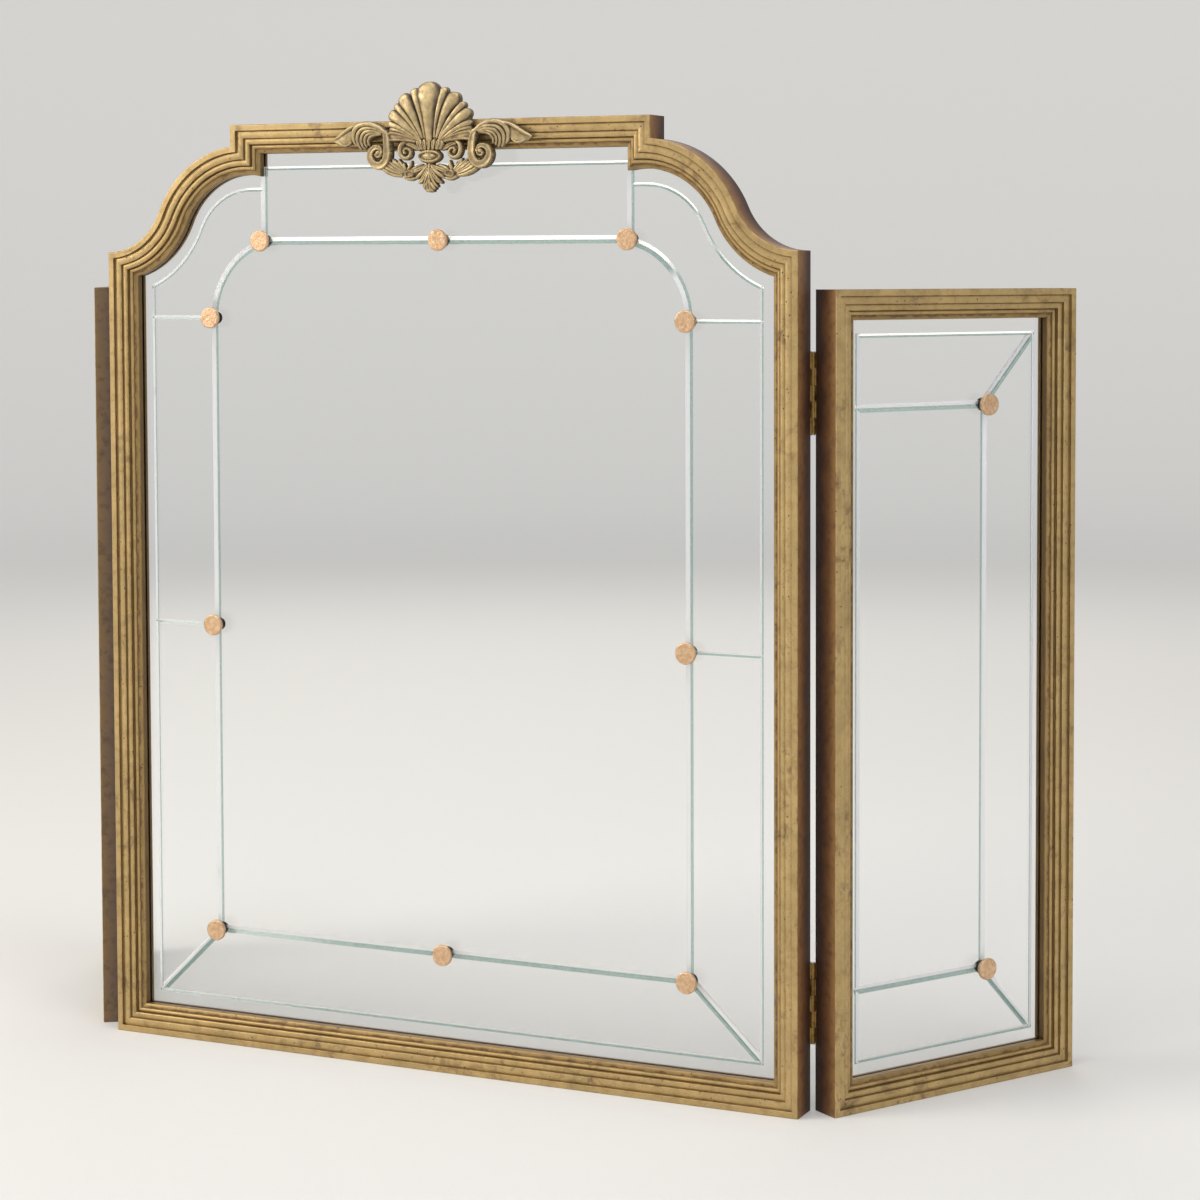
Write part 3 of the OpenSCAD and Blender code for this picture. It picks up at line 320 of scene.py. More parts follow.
def gilded_wood(panel):
    material, add = new_material("antiqued_gilding_" + panel)
    coords = add("TexCoord").outputs
    place = coords["Object"]
    depth, facing = depth_and_facing(add, coords, panel)

    # The edges of the glaze and of the painted shade don't keep to a line: they wander by a third of a
    # millimetre
    wander = clouds(add, place, 9, 3, 0.3, 0.7, -0.35, 0.35)
    on_reed = add("MapRange", [add("Math", [depth, wander], operation="ADD"), 0, 12])
    # Painted shade and highlight together with the glaze: by depth, the reeds' walls and hollows are darker
    # and their crowns brighter
    gold = add("ValToRGB", [on_reed], [
        (0.000, "#C6AA74"), (0.030, "#B89B66"), (0.058, "#7D6240"), (0.140, "#735838"),
        (0.178, "#CCB07A"), (0.238, "#BC9F68"), (0.268, "#6F5436"), (0.308, "#6B5032"),
        (0.345, "#CAAE78"), (0.415, "#B4965F"), (0.452, "#6B5032"), (0.525, "#6F5436"),
        (0.570, "#C8AB74"), (0.685, "#B2945E"), (0.735, "#6B5032"), (0.762, "#9A7E50"),
        (0.830, "#AE925C"), (0.880, "#A48654"), (0.930, "#8E7248"), (1.000, "#7A6038")])

    # Clouds of glaze, from a hand's breadth down to a finger's, and three sizes of specks
    cloud = clouds(add, place, 46, 4, 0.42, 0.70)
    patch = clouds(add, place, 13, 4, 0.50, 0.68, Roughness=0.65, Distortion=0.6)
    darkening = add("Math", [cloud, patch, 0.08], operation="MULTIPLY_ADD")
    colour = add("Mix", {0: darkening, 6: gold, 7: "#6E5030"}, data_type="RGBA")
    light = clouds(add, place, 30, 3, 0.3, 0.7, 0.86, 1.10)
    colour = add("Mix", {0: 1.0, 6: colour, 7: light}, data_type="RGBA", blend_type="MULTIPLY")
    for speck in ((6.5, 0.13, 0.42, "#3A2A1C"), (2.6, 0.16, 0.36, "#5A4228"), (1.3, 0.20, 0.30, "#7A5E3A")):
        colour = speckled(add, colour, place, *speck)

    # Brown paint on the outer edges, with some gold rubbed over the arris, and on the back
    wander = clouds(add, place, 16, 3, 0.3, 0.7, -2.5, 2.5)
    on_side = add("MapRange", [add("Math", [depth, wander], operation="ADD"), 0, 30])
    # Painted light: the left wing's edges get the lighter browns, as painted sunlight
    paint = brown_with_painted_sunlight if panel == "left_wing" else brown_paint
    brown = add("ValToRGB", [on_side], list(zip((0.02, 0.40, 0.73, 1.0), paint)))
    stains = clouds(add, place, 7, 4, 0.5, 0.75, 0.0, 0.5)
    brown = add("Mix", {0: stains, 6: brown, 7: "#33251F"}, data_type="RGBA")
    centres, _, _, sideways, _ = seats(panel + "_medallions", panel)
    middle_across, middle_up = np.mean(centres, axis=0)
    middle = Vector(sideways) * middle_across + Vector((0, 0, middle_up))
    from_middle = add("VectorMath", [place, middle], operation="SUBTRACT")
    outwards = add("VectorMath", [coords["Normal"], from_middle], operation="DOT_PRODUCT")
    outer, behind = add("MapRange", [outwards, -0.002, 0.002]), add("MapRange", [facing, 0.4, 0.6])
    painted = add("Math", [outer, behind], operation="MAXIMUM")
    on_edge = add("Math", [add("MapRange", [facing, -0.5, -0.2]), painted], operation="MULTIPLY")
    colour = add("Mix", {0: on_edge, 6: colour, 7: brown}, data_type="RGBA")

    swell = add("TexNoise", {"Vector": place, "Scale": 1000 / 6, "Detail": 3, "Roughness": 0.55})
    fine = add("TexNoise", {"Vector": place, "Scale": 1000 / 0.9, "Detail": 2, "Roughness": 0.55})
    bump = add("Bump", {"Height": swell, "Strength": 0.35, "Distance": 0.5 * mm})
    bump = add("Bump", {"Height": fine, "Strength": 0.35, "Distance": 0.12 * mm, "Normal": bump})
    covered = add("Math", [on_edge, darkening], operation="MAXIMUM")
    dull = add("Math", [on_edge, fine], operation="ADD")
    return surfaced(material, add, {
        "Base Color": colour, "Metallic": add("MapRange", [covered, 0.0, 1.0, 0.62, 0.05]),
        "Roughness": add("MapRange", [dull, 0.3, 1.4, 0.36, 0.60]), "Normal": bump})


gilding = {panel: gilded_wood(panel) for panel in panels}
print("gilding for", ", ".join(gilding))

# %% [markdown]
# ## The cast crest
# The crest was modelled in clay and cast, so it has no sharp machining: every form swells and sinks.
# It is drawn here the way a modeller builds it, in strokes. A stroke follows a smooth path and has
# a half width and a height at each drawn point. Where strokes overlap the higher one wins, which
# leaves a crease between them, like the crease that a modelling tool leaves.
# From the strokes comes a relief: a sheet of small cells, cut along the outline and closed with
# walls and a flat back. The ribs of the shell are swept over it afterwards with Geometry Nodes.

# %% Strokes, in mm: rows of x, height above the crown of the frame, half width, relief
def smooth_path(rows, steps=10):
    """A Catmull-Rom curve through the drawn rows, for place, width and height at once."""
    rows = np.array(rows, float)
    padded = np.vstack([2 * rows[0] - rows[1], rows, 2 * rows[-1] - rows[-2]])
    t = np.linspace(0, 1, steps, endpoint=False)[:, None]
    parts = [0.5 * (2 * b + (c - a) * t + (2 * a - 5 * b + 4 * c - d) * t ** 2
                    + (3 * b - a - 3 * c + d) * t ** 3)
             for a, b, c, d in zip(padded, padded[1:], padded[2:], padded[3:])]
    return np.vstack(parts + [rows[-1:]])


# How high a stroke is across its width, from its middle (0) to its edge (1)
across = {
    "round": lambda r: 0.52 + 0.48 * np.sqrt(1 - r ** 2),
    "soft": lambda r: 0.78 + 0.22 * np.sqrt(1 - r ** 2),
    "rimmed": lambda r: 0.78 + 0.22 * np.exp(-((r - 0.70) / 0.20) ** 2) - 0.64 * np.clip(r - 0.75, 0, 1),
    "creased": lambda r: 0.62 + 0.38 * np.sqrt(1 - r ** 2) - 0.20 * np.exp(-(r / 0.16) ** 2),
    "dished": lambda r: (0.90 + 0.10 * np.clip(r / 0.7, 0, 1) ** 2
                         - 0.45 * np.clip((r - 0.72) / 0.28, 0, 1) ** 2),
}

shell_ribs = [
    [(0, -18, 3.2, 7.4), (0, -8, 4.3, 8.8), (0, 6, 6.3, 10.2), (0, 17, 8.8, 10.8), (0, 23.4, 11.2, 9.8)],
    [(5, -16, 1, 6.4), (6.7, -5, 1.5, 7.6), (9.6, 7, 2.3, 8.4), (13, 18, 3.2, 8.4),
     (15.4, 25.3, 3.8, 7.2)],
    [(7.6, -16, 1.3, 6.6), (10.8, -8, 2.1, 7.8), (15.8, 3, 3.6, 9.2), (21, 12, 5, 9.4),
     (25.4, 18.2, 6.3, 8.2)],
    [(9.8, -17, 1, 6.2), (14, -10, 1.4, 7), (20.8, -1, 2.1, 7.8), (28.4, 7.2, 2.7, 7.8),
     (34.1, 12.4, 3.1, 6.8)],
    [(10.8, -18, 1.2, 6.2), (15.3, -12.6, 1.9, 7.2), (23.2, -6, 3, 8.4), (32, 0.8, 4.1, 8.4),
     (38.4, 4.7, 4.7, 7.4)],
    [(11.5, -18.6, 0.9, 5.8), (17, -14.7, 1.2, 6.6), (25, -9.8, 1.8, 7.2), (34, -5.6, 2.3, 7),
     (41.3, -3.4, 2.6, 6.2)],
    [(15, -17.6, 0.7, 5.6), (25, -12.4, 1.1, 6.3), (33, -9.3, 1.3, 6.4), (40.5, -7.8, 1.4, 5.8)],
]
strokes = [("soft", [(x, z, w + 0.2, 4.8) for x, z, w, _ in rows]) for rows in shell_ribs]
strokes += [
    # The slab behind the ribs, and the broad smooth lobe along the lower edge of the shell
    ("soft", [(0, -16, 9, 5), (0, 2, 10, 5.2), (0, 20, 12, 5.2)]),
    ("soft", [(8, -12, 5, 5), (15, 1, 7.6, 5.2), (22, 12, 9, 5.2)]),
    ("soft", [(12, -14, 4, 5), (24, -5, 6, 5.2), (35, 3, 7.4, 5.2)]),
    ("soft", [(12, -17, 3, 5), (26, -12, 4, 5.2), (37, -9.5, 6, 5.2)]),
    ("rimmed", [(10, -20, 1.3, 5.8), (16, -18.6, 1.9, 6.6), (25, -16.5, 3.1, 7.6), (34, -14.9, 4.2, 7.8),
        (40.4, -14.6, 5, 7.2)]),
    # Fluted leaf that arches over the scroll, its tips curled down
    ("round", [(45.4, -11.8, 1.8, 7.4), (53, -6.4, 2.3, 8.6), (62, -3.1, 2.7, 9.2),
        (70.6, -3.1, 2.8, 9), (77.6, -6.3, 2.8, 8.4), (80.8, -12.1, 2.5, 7.4), (80.4, -18.4, 1.9, 5.8),
        (78.2, -22.2, 1.2, 4.6)]),
    ("round", [(49, -10.4, 1.6, 7.8), (55.4, -7.6, 1.9, 8.4), (62.4, -6.5, 2.2, 8.8),
        (69.4, -7.1, 2.3, 8.6), (74.6, -10.7, 2.3, 8), (76.7, -16, 2.1, 7), (75.9, -21.6, 1.5, 5.6),
        (73.8, -25.2, 1, 4.4)]),
    ("round", [(51, -11.2, 1.3, 7.4), (56.6, -9.4, 1.7, 8), (62.4, -9.1, 2, 8.3),
        (67.8, -10.3, 2.1, 8.1), (71.4, -13.8, 2, 7.5), (72.6, -18.4, 1.8, 6.6),
        (71.6, -23, 1.3, 5.2), (69.6, -25.4, 0.8, 4.2)]),
    ("round", [(52.4, -11.8, 1.1, 6.8), (57.4, -11, 1.5, 7.3), (62.2, -11.4, 1.8, 7.7),
        (66.2, -13.2, 1.8, 7.5), (68.6, -16.6, 1.7, 6.9), (68.8, -20.8, 1.3, 5.8),
        (67.4, -23.8, 0.9, 4.6)]),
    ("round", [(51.4, -12.6, 0.9, 6), (57.4, -12.8, 1.3, 6.4), (61.8, -13.9, 1.6, 6.8),
        (64.4, -16.4, 1.6, 6.6), (65.4, -19.4, 1.4, 5.8), (64.6, -22.2, 1, 4.8)]),
    ("soft", [(49, -11, 2.4, 5.2), (57, -8.2, 3.8, 5.6), (66, -9, 5.4, 5.6), (72.6, -13.5, 6, 5)]),
    # Pointed leaf that it throws outwards: a smooth face under a raised upper rim
    ("soft", [(78.6, -9.4, 4, 4.8), (85, -13, 5.6, 5), (91.4, -16.4, 5.2, 4.8),
        (97.4, -18, 3.2, 4.2), (102.4, -17.4, 1.3, 3.4)]),
    ("round", [(76.6, -3.7, 1.6, 7.2), (83.4, -5.7, 1.8, 7.2), (90, -9.3, 1.8, 6.8),
        (96.6, -13.4, 1.6, 5.8), (103.4, -16.7, 1, 4.2)]),
    ("round", [(84, -19.2, 0.8, 4.8), (88.6, -21.8, 0.9, 5.4), (93.4, -21.6, 0.9, 5.2),
        (98, -19.4, 0.8, 4.4)]),
    # Scroll that winds down from the root of the leaf, and its eye
    ("dished", [(46.4, -11.4, 2.8, 7.4), (44.9, -17.4, 3.5, 8.2), (44.2, -24.6, 3.9, 8.8),
        (44.2, -31.4, 4, 9), (45.8, -36.8, 4, 9), (50.2, -40.6, 4, 8.8),
        (56.2, -40.6, 3.9, 8.6), (60.7, -37.2, 3.7, 8.4), (62.5, -32.2, 3.4, 8.2),
        (60.9, -27.2, 3, 8.2), (56.6, -24.5, 2.6, 8.2), (51.9, -25.2, 2.1, 8.4),
        (49.9, -28.8, 1.8, 8.4)]),
    ("round", [(49.9, -28.8, 1.8, 8.4), (51.3, -32.2, 1.6, 8.6), (54.6, -33, 1.4, 8.8),
        (56.4, -30.8, 1.3, 9.2)]),
    ("round", [(53.4, -29.2, 2.5, 9.6), (53.8, -29.4, 2.5, 9.6)]),
    ("soft", [(55.4, -31.8, 7.8, 4.6), (55.6, -31.8, 7.8, 4.6)]),
    # Small volute between the lobe and the garland, with the dark leaf behind it
    ("round", [(27.4, -19.8, 1.9, 5.6), (30.8, -22.6, 2.2, 6.4), (31.9, -27.4, 2.3, 6.8),
        (29.9, -32.4, 2.3, 7), (25.4, -34.6, 2.1, 7), (21.3, -32.8, 1.9, 7),
        (20.1, -29.2, 1.6, 7), (22.2, -26.4, 1.4, 7.2)]),
    ("round", [(22.2, -26.4, 1.4, 7.2), (25, -26, 1.3, 7.4), (26.8, -27.8, 1.2, 7.6),
        (25.8, -29.9, 1.8, 8.2)]),
    ("soft", [(25.8, -29.6, 5.8, 4), (26, -29.6, 5.8, 4)]),
    ("creased", [(27, -21, 1.2, 3.4), (21.4, -22.4, 2.6, 3.8), (16.6, -24.6, 2.6, 3.8),
        (12.4, -26.8, 1.6, 3.6)]),
    # Garland of long leaves from scroll to scroll, tips upwards, and the bud at its knot
    ("creased", [(54, -38.6, 1.9, 6.2), (49.6, -41.9, 3, 7.4), (43.6, -45.7, 3.5, 8),
        (36.6, -48.5, 3.2, 7.6), (30, -50, 2.2, 6.8)]),
    ("creased", [(51.6, -36.2, 1, 6.6), (46.6, -39.4, 2.3, 7.4), (40.2, -43.8, 2.6, 7.6),
        (31.6, -47.8, 1.8, 6.8)]),
    ("creased", [(44.6, -36.6, 0.8, 6), (41.4, -39.8, 2.3, 7), (36.4, -43.4, 2.5, 7.2),
        (29, -47.2, 1.7, 6.6)]),
    ("creased", [(39.6, -35.4, 0.7, 5.4), (36.8, -39, 2.2, 6.6), (32.2, -42.8, 2.4, 6.8),
        (27, -46.6, 1.6, 6.4)]),
    ("creased", [(33, -35.8, 0.7, 5), (31.4, -39.4, 2.1, 6.2), (28.4, -43.4, 2.2, 6.6),
        (26, -46.4, 1.4, 6.2)]),
    ("round", [(28, -38.8, 0.6, 4.8), (27.4, -41.6, 1.4, 5.8), (25.6, -45.2, 1.6, 6.2)]),
    ("round", [(20.2, -37.6, 0.8, 5), (20.8, -40.8, 1.7, 6.2), (22.6, -45, 1.9, 6.4)]),
    ("creased", [(2.4, -41.4, 1.2, 6.8), (7.6, -43.8, 2, 7.2), (13.2, -45.8, 2.2, 7.2),
        (18.6, -47.6, 1.8, 6.8)]),
    ("round", [(8.4, -41, 0.9, 5.6), (13.6, -42.6, 1.6, 6.2), (18.8, -45.2, 1.6, 6.2)]),
    ("round", [(17, -53, 1.6, 6.2), (21, -53.6, 2, 6.6), (25.4, -52.4, 1.8, 6.2),
        (29, -50.8, 1.2, 5.6)]),
    ("rimmed", [(19.4, -48.6, 3.6, 8.6), (22.6, -49.2, 3.6, 8.6)]),
    ("soft", [(45, -44, 2.6, 5), (34, -46.8, 3.2, 5.2), (24, -48.4, 3.4, 5.2), (13, -47, 3.4, 5),
        (2, -44, 3, 5)]),
    # Strands that fan out from the foot of the button, and the lobed leaf that ends them
    ("round", [(2.2, -42.6, 1.3, 7.2), (6, -46.4, 2, 7.6), (10.4, -50, 2.1, 7.2),
        (14.6, -52.8, 1.3, 6.2)]),
    ("creased", [(1.8, -44.8, 1.3, 7.4), (4.6, -50, 2.1, 7.8), (8, -54.6, 2.2, 7.2),
        (11.4, -57.2, 1.3, 6)]),
    ("round", [(1, -47.4, 1.2, 7.6), (2.6, -52.4, 1.7, 8), (4.8, -57.4, 1.7, 7.4),
        (7.2, -60.6, 1.1, 6)]),
    ("round", [(0, -40.6, 1.6, 7.4), (0, -46.6, 1.5, 8), (0, -52.6, 1.3, 8.4)]),
    ("soft", [(0, -42, 3, 5.2), (0, -50, 5, 5.2), (0, -56, 6.6, 5)]),
    ("creased", [(0, -53.4, 1.4, 9), (0, -58.6, 2.8, 9.8), (0, -63.4, 2.9, 8.8)]),
    ("round", [(1.8, -57, 1.2, 8.4), (3.8, -60.6, 1.9, 8.6), (5, -62.4, 1.4, 7.6)]),
    ("round", [(1.4, -60.6, 1.2, 8), (2.8, -64.4, 1.5, 7.6)]),
    # Collar of small upright leaves, and the oval button with its rim and rosette
    ("soft", [(0, -22, 4.6, 5.4), (7.8, -22, 4.2, 5)]),
    ("rimmed", [(0, -33.3, 6.6, 8.8), (3, -33.3, 6.3, 8.7), (6, -33.3, 5.25, 8.5),
        (8.2, -33.3, 3.7, 8.1)]),
    ("round", [(0, -33.3, 3.9, 9.6), (2.5, -33.3, 3.55, 9.4), (5, -33.3, 2.2, 8.8)]),
]
strokes += [
    ("creased", [(x * 1.16, tip, 1.0, 7.8 * s), (x * 1.06, -21.2, 2.1, 9.4 * s),
        (x * 0.9, -26.2, 1.7, 8.8 * s)])
    for x, tip, s in ((0, -17.2, 1.0), (4.5, -18.4, 0.97), (8.6, -18.0, 0.86), (11.6, -20.4, 0.70))]
strokes += [("round", [(x, z, 1.0, 9.9), (x * 1.5, -33.2 + (z + 33.2) * 1.5, 0.9, 9.4)])
            for x, z in ((1.6, -31.2), (1.6, -35.2), (3.6, -33.2), (0.0, -30.8), (0.0, -35.6))]
print(len(strokes), "strokes and", 2 * len(shell_ribs) - 1, "ribs")

# %% From strokes to a relief
def relief(points):
    """For each point: how far inside the outline it lies, and how high the casting is there, in mm.
    Within the outline the height changes over 0.7 mm from one stroke to the next."""
    inside = np.full(len(points), -9.0)
    hard, soft = np.zeros(len(points)), np.zeros(len(points))
    for shape, rows in strokes:
        path = smooth_path(rows)
        reach = path[:, 2].max() + 2.5
        near = np.flatnonzero((points >= path[:, :2].min(0) - reach).all(1)
                              & (points <= path[:, :2].max(0) + reach).all(1))
        if not len(near):
            continue
        gap = np.hypot(*(points[near, None, :] - path[None, :, :2]).transpose(2, 0, 1))
        best = (path[:, 2] - gap).argmax(1)
        width, high = path[best, 2], path[best, 3]
        gap = gap[np.arange(len(near)), best]
        inside[near] = np.maximum(inside[near], width - gap)
        high = high * across[shape](np.clip(gap / width, 0, 1))
        hard[near] = np.maximum(hard[near], np.where(gap < width, high, 0))
        cover = np.clip((width - gap) / 0.7 + 0.5, 0, 1)
        soft[near] = np.maximum(soft[near], soft[near] * (1 - cover) + high * cover)
    deep = np.clip(inside / 0.8, 0, 1)
    return inside, hard * (1 - deep) + soft * deep


def blurred(sheet, times):
    for _ in range(times):
        sheet = (sheet + sum(np.roll(sheet, step, axis) for axis in (0, 1) for step in (1, -1))) / 5
    return sheet


# A grid of half millimetres over the right half of the crest, then the same with the other half
cell = 0.5
half_x, half_z = np.meshgrid(np.arange(0, 107, cell), np.arange(-70, 38, cell))
inside, height = relief(np.c_[half_x.ravel(), half_z.ravel()])
whole = lambda half, sign=1: np.hstack([sign * half[:, :0:-1], half])
sheet_x, sheet_z = whole(half_x, -1), whole(half_z)
inside, height = whole(inside.reshape(half_x.shape)), whole(height.reshape(half_x.shape))

# Cells with any corner inside the outline are kept, and where two of them would meet at one
# corner only, the two between them are kept as well
low, high = slice(None, -1), slice(1, None)
corners = [(rows, columns) for rows in (low, high) for columns in (low, high)]
kept = np.any([inside[corner] > 0 for corner in corners], axis=0)
for _ in range(4):
    a, b, c, d = kept[low, low], kept[high, high], kept[high, low], kept[low, high]
    pinch = (a & b & ~c & ~d) | (c & d & ~a & ~b)
    for corner in corners:
        kept[corner] |= pinch

# Corners outside the outline move onto it, down the slope of the distance
slope_z, slope_x = np.gradient(inside, cell)
steepness = np.maximum(slope_x ** 2 + slope_z ** 2, 0.25)
outside = np.minimum(inside, 0) * (inside > -1.2)
sheet_x, sheet_z = sheet_x - outside * slope_x / steepness, sheet_z - outside * slope_z / steepness
_, at_edge = relief(np.c_[np.abs(sheet_x.ravel()), sheet_z.ravel()])
filled = np.maximum(height, at_edge.reshape(height.shape))
for _ in range(3):
    around = np.max([np.roll(filled, s, axis) for s in (1, -1) for axis in (0, 1)], axis=0)
    filled = np.where(filled > 0, filled, around * 0.98)
rounded_relief = 0.5 * filled + 0.5 * blurred(filled, 1)
# Painted shade together with glaze: a point that lies below the relief around it gets a high cavity value,
# which darkens the crest's gold there
crease_glaze_and_shade = np.clip((blurred(filled, 10) - filled) / 1.6 + 0.25, 0, 1)
print("relief of", int(kept.sum()), "cells, up to", round(float(filled.max()), 1), "mm high")

# %% Close the relief with walls and a flat back
# In mm: the height of the frame's crown, its front, and the gap that the crest leaves to it
crown_z, front_y, crest_gap = 882.0, -frame_depth / mm / 2, 0.1
count = sheet_x.size
index = np.arange(count).reshape(sheet_x.shape)
front = np.c_[sheet_x.ravel(), front_y - crest_gap - rounded_relief.ravel(), crown_z + sheet_z.ravel()]
back = np.c_[sheet_x.ravel(), np.full(count, front_y - crest_gap), crown_z + sheet_z.ravel()]
i, j = np.nonzero(kept)
quads = np.c_[index[i, j], index[i, j + 1], index[i + 1, j + 1], index[i + 1, j]]
edges = np.vstack([quads[:, [k, (k + 1) % 4]] for k in range(4)])
key, reverse = edges[:, 0] * count + edges[:, 1], edges[:, 1] * count + edges[:, 0]
rim = edges[~np.isin(key, reverse)]
walls = np.c_[rim[:, 1], rim[:, 0], rim[:, 0] + count, rim[:, 1] + count]
all_quads = np.vstack([quads, quads[:, ::-1] + count, walls])
used, compact = np.unique(all_quads, return_inverse=True)
relief_mesh = bpy.data.meshes.new("crest_relief")
relief_mesh.from_pydata((np.vstack([front, back]) * mm)[used], [], compact.reshape(all_quads.shape))
# The cavity values, with painted shade in them, go on the front; the back gets the highest, so its gold is
# darkest
hollows = np.r_[crease_glaze_and_shade.ravel(), np.ones(count)][used]
relief_mesh.attributes.new("cavity", "FLOAT", "POINT").data.foreach_set("value", hollows)
relief_mesh.polygons.foreach_set("use_smooth", [True] * len(all_quads))
relief_mesh.set_sharp_from_angle(angle=math.radians(62))
casting = bpy.data.objects.new("casting", relief_mesh)
bpy.context.scene.collection.objects.link(casting)
print(len(relief_mesh.polygons), "faces, walls", len(walls))

# %% [markdown]
# ## Geometry Nodes for what repeats and for what follows a path
# One tree sweeps a round section along the path of every rib, then presses it flat towards the slab,
# so that a rib is as wide and as high as its rows say. Another tree sets one medallion on each
# crossing of the grooves, turns each by a different amount and hammers its face.
# Both end in plain meshes: the pieces of the screen carry no live modifiers.

# %% Helpers for a tree and for running it
def new_group(name, sockets):
    """A Geometry Nodes tree with named inputs, add_node tied to it, and the inputs' sockets."""
    group = bpy.data.node_groups.new(name, "GeometryNodeTree")
    for label, kind in [("Geometry", "Geometry")] + sockets:
        group.interface.new_socket(label, in_out="INPUT", socket_type="NodeSocket" + kind)
    group.interface.new_socket("Geometry", in_out="OUTPUT", socket_type="NodeSocketGeometry")
    add = partial(add_node, group)
    return group, add, add("NodeGroupInput").outputs


def run_tree(name, mesh, group, values):
    """A plain mesh object made by the tree from the mesh."""
    start = bpy.data.objects.new(name + "_start", mesh)
    bpy.context.scene.collection.objects.link(start)
    modifier = start.modifiers.new("nodes", "NODES")
    modifier.node_group = group
    for item in group.interface.items_tree:
        if item.in_out == "INPUT" and item.name in values:
            modifier[item.identifier] = values[item.name]
    evaluated = start.evaluated_get(bpy.context.evaluated_depsgraph_get())
    made = bpy.data.meshes.new_from_object(evaluated)
    made.name = name
    bpy.data.objects.remove(start)
    piece = bpy.data.objects.new(name, made)
    bpy.context.scene.collection.objects.link(piece)
    return piece


# %% The tree that sweeps the ribs over the casting
rib_tree, add, given = new_group("swept_ribs", [
    ("Sides", "Int"), ("Root Share", "Float"), ("Fullness", "Float"), ("Casting", "Object"),
    ("Finish", "Material")])
half_width, pressing, spine = [
    add("GeometryNodeInputNamedAttribute", {"Name": name}, data_type=kind)
    for name, kind in (("half_width", "FLOAT"), ("press", "FLOAT"), ("spine", "FLOAT_VECTOR"))]
here = add("GeometryNodeInputPosition")
lines = add("GeometryNodeMeshToCurve", {"Mesh": given["Geometry"]})
lines = add("GeometryNodeStoreNamedAttribute", {"Geometry": lines, "Name": "spine", "Value": here},
            data_type="FLOAT_VECTOR", domain="POINT")
section = add("GeometryNodeCurvePrimitiveCircle", {"Resolution": given["Sides"], "Radius": 1.0})
ribs = add("GeometryNodeCurveToMesh", {"Curve": lines, "Profile Curve": section, "Scale": half_width,
                                       "Fill Caps": True})
# The round section is pressed: its front half to the rib's height, its back half towards the slab
x, y, z = add("SeparateXYZ", [add("VectorMath", [here, spine], operation="SUBTRACT")]).outputs
behind = add("Math", [y, 0.0], operation="MAXIMUM")
rearward = add("Math", [behind, given["Root Share"]], operation="MULTIPLY")
ahead = add("Math", [y, -1.0], operation="MULTIPLY")
crown = add("Math", [ahead, half_width], operation="DIVIDE")
fuller = add("Math", [crown, 0.0], operation="MAXIMUM")
fuller = add("Math", [fuller, given["Fullness"]], operation="POWER")
forward = add("Math", [fuller, half_width], operation="MULTIPLY")
pressing = add("Math", [pressing, -1.0], operation="MULTIPLY")
forward = add("Math", [forward, pressing], operation="MULTIPLY")
moved = add("CombineXYZ", [x, add("Math", [forward, rearward], operation="ADD"), z])
moved = add("VectorMath", [spine, moved], operation="ADD")
# Painted shade: the flanks and back of a rib get a high cavity value, so its gold is darker there than on
# its crown
shadow = add("MapRange", [crown, 0.25, 0.85, 1.0, 0.12])
ribs = add("GeometryNodeStoreNamedAttribute", {"Geometry": ribs, "Name": "cavity", "Value": shadow},
           data_type="FLOAT", domain="POINT")
ribs = add("GeometryNodeSetPosition", {"Geometry": ribs, "Position": moved})
ribs = add("GeometryNodeSetShadeSmooth", {"Geometry": ribs})
slab = add("GeometryNodeObjectInfo", {"Object": given["Casting"]}, transform_space="ORIGINAL")
joined = add("GeometryNodeJoinGeometry")
for part in (ribs, slab):
    rib_tree.links.new(part.outputs["Geometry"], joined.inputs[0])
made_real = add("GeometryNodeRealizeInstances", {"Geometry": joined})
finished = add("GeometryNodeSetMaterial", {"Geometry": made_real, "Material": given["Finish"]})
add("NodeGroupOutput", {"Geometry": finished})
print("rib tree of", len(rib_tree.nodes), "nodes")

# %% The paths of the ribs, with a round end on each
# The ribs' middle lines lie 3.9 mm in front of the casting's back, and are swept broader than drawn
rib_base, rib_spread = 3.9, 1.13
line_points, line_edges, half_widths, press = [], [], [], []


def with_round_ends(path):
    ends = []
    for end, before in ((path[0], path[1]), (path[-1], path[-2])):
        ahead = (end[:2] - before[:2]) / np.hypot(*(end[:2] - before[:2]))
        angles = np.radians([20, 40, 57, 71, 82, 88.5])
        ends.append([(*(end[:2] + ahead * end[2] * math.sin(a)), end[2] * math.cos(a),
                      rib_base + (end[3] - rib_base) * math.cos(a)) for a in angles])
    return np.vstack([ends[0][::-1], path, ends[1]])


for rows in shell_ribs:
    path = with_round_ends(smooth_path(rows))
    for side in ((1, -1) if rows[0][0] else (1,)):
        first = len(line_points)
        line_points += [(side * x * mm, (front_y - crest_gap - rib_base) * mm, (crown_z + z) * mm)
                        for x, z, _, _ in path]
        line_edges += [(k, k + 1) for k in range(first, len(line_points) - 1)]
        half_widths += [rib_spread * w * mm for w in path[:, 2]]
        press += [(h - rib_base) / (rib_spread * w) for w, h in path[:, 2:]]
rib_lines = bpy.data.meshes.new("rib_lines")
rib_lines.from_pydata(line_points, line_edges, [])
for label, values in (("half_width", half_widths), ("press", press)):
    rib_lines.attributes.new(label, "FLOAT", "POINT").data.foreach_set("value", values)
print(len(line_edges), "edges in", 2 * len(shell_ribs) - 1, "paths")
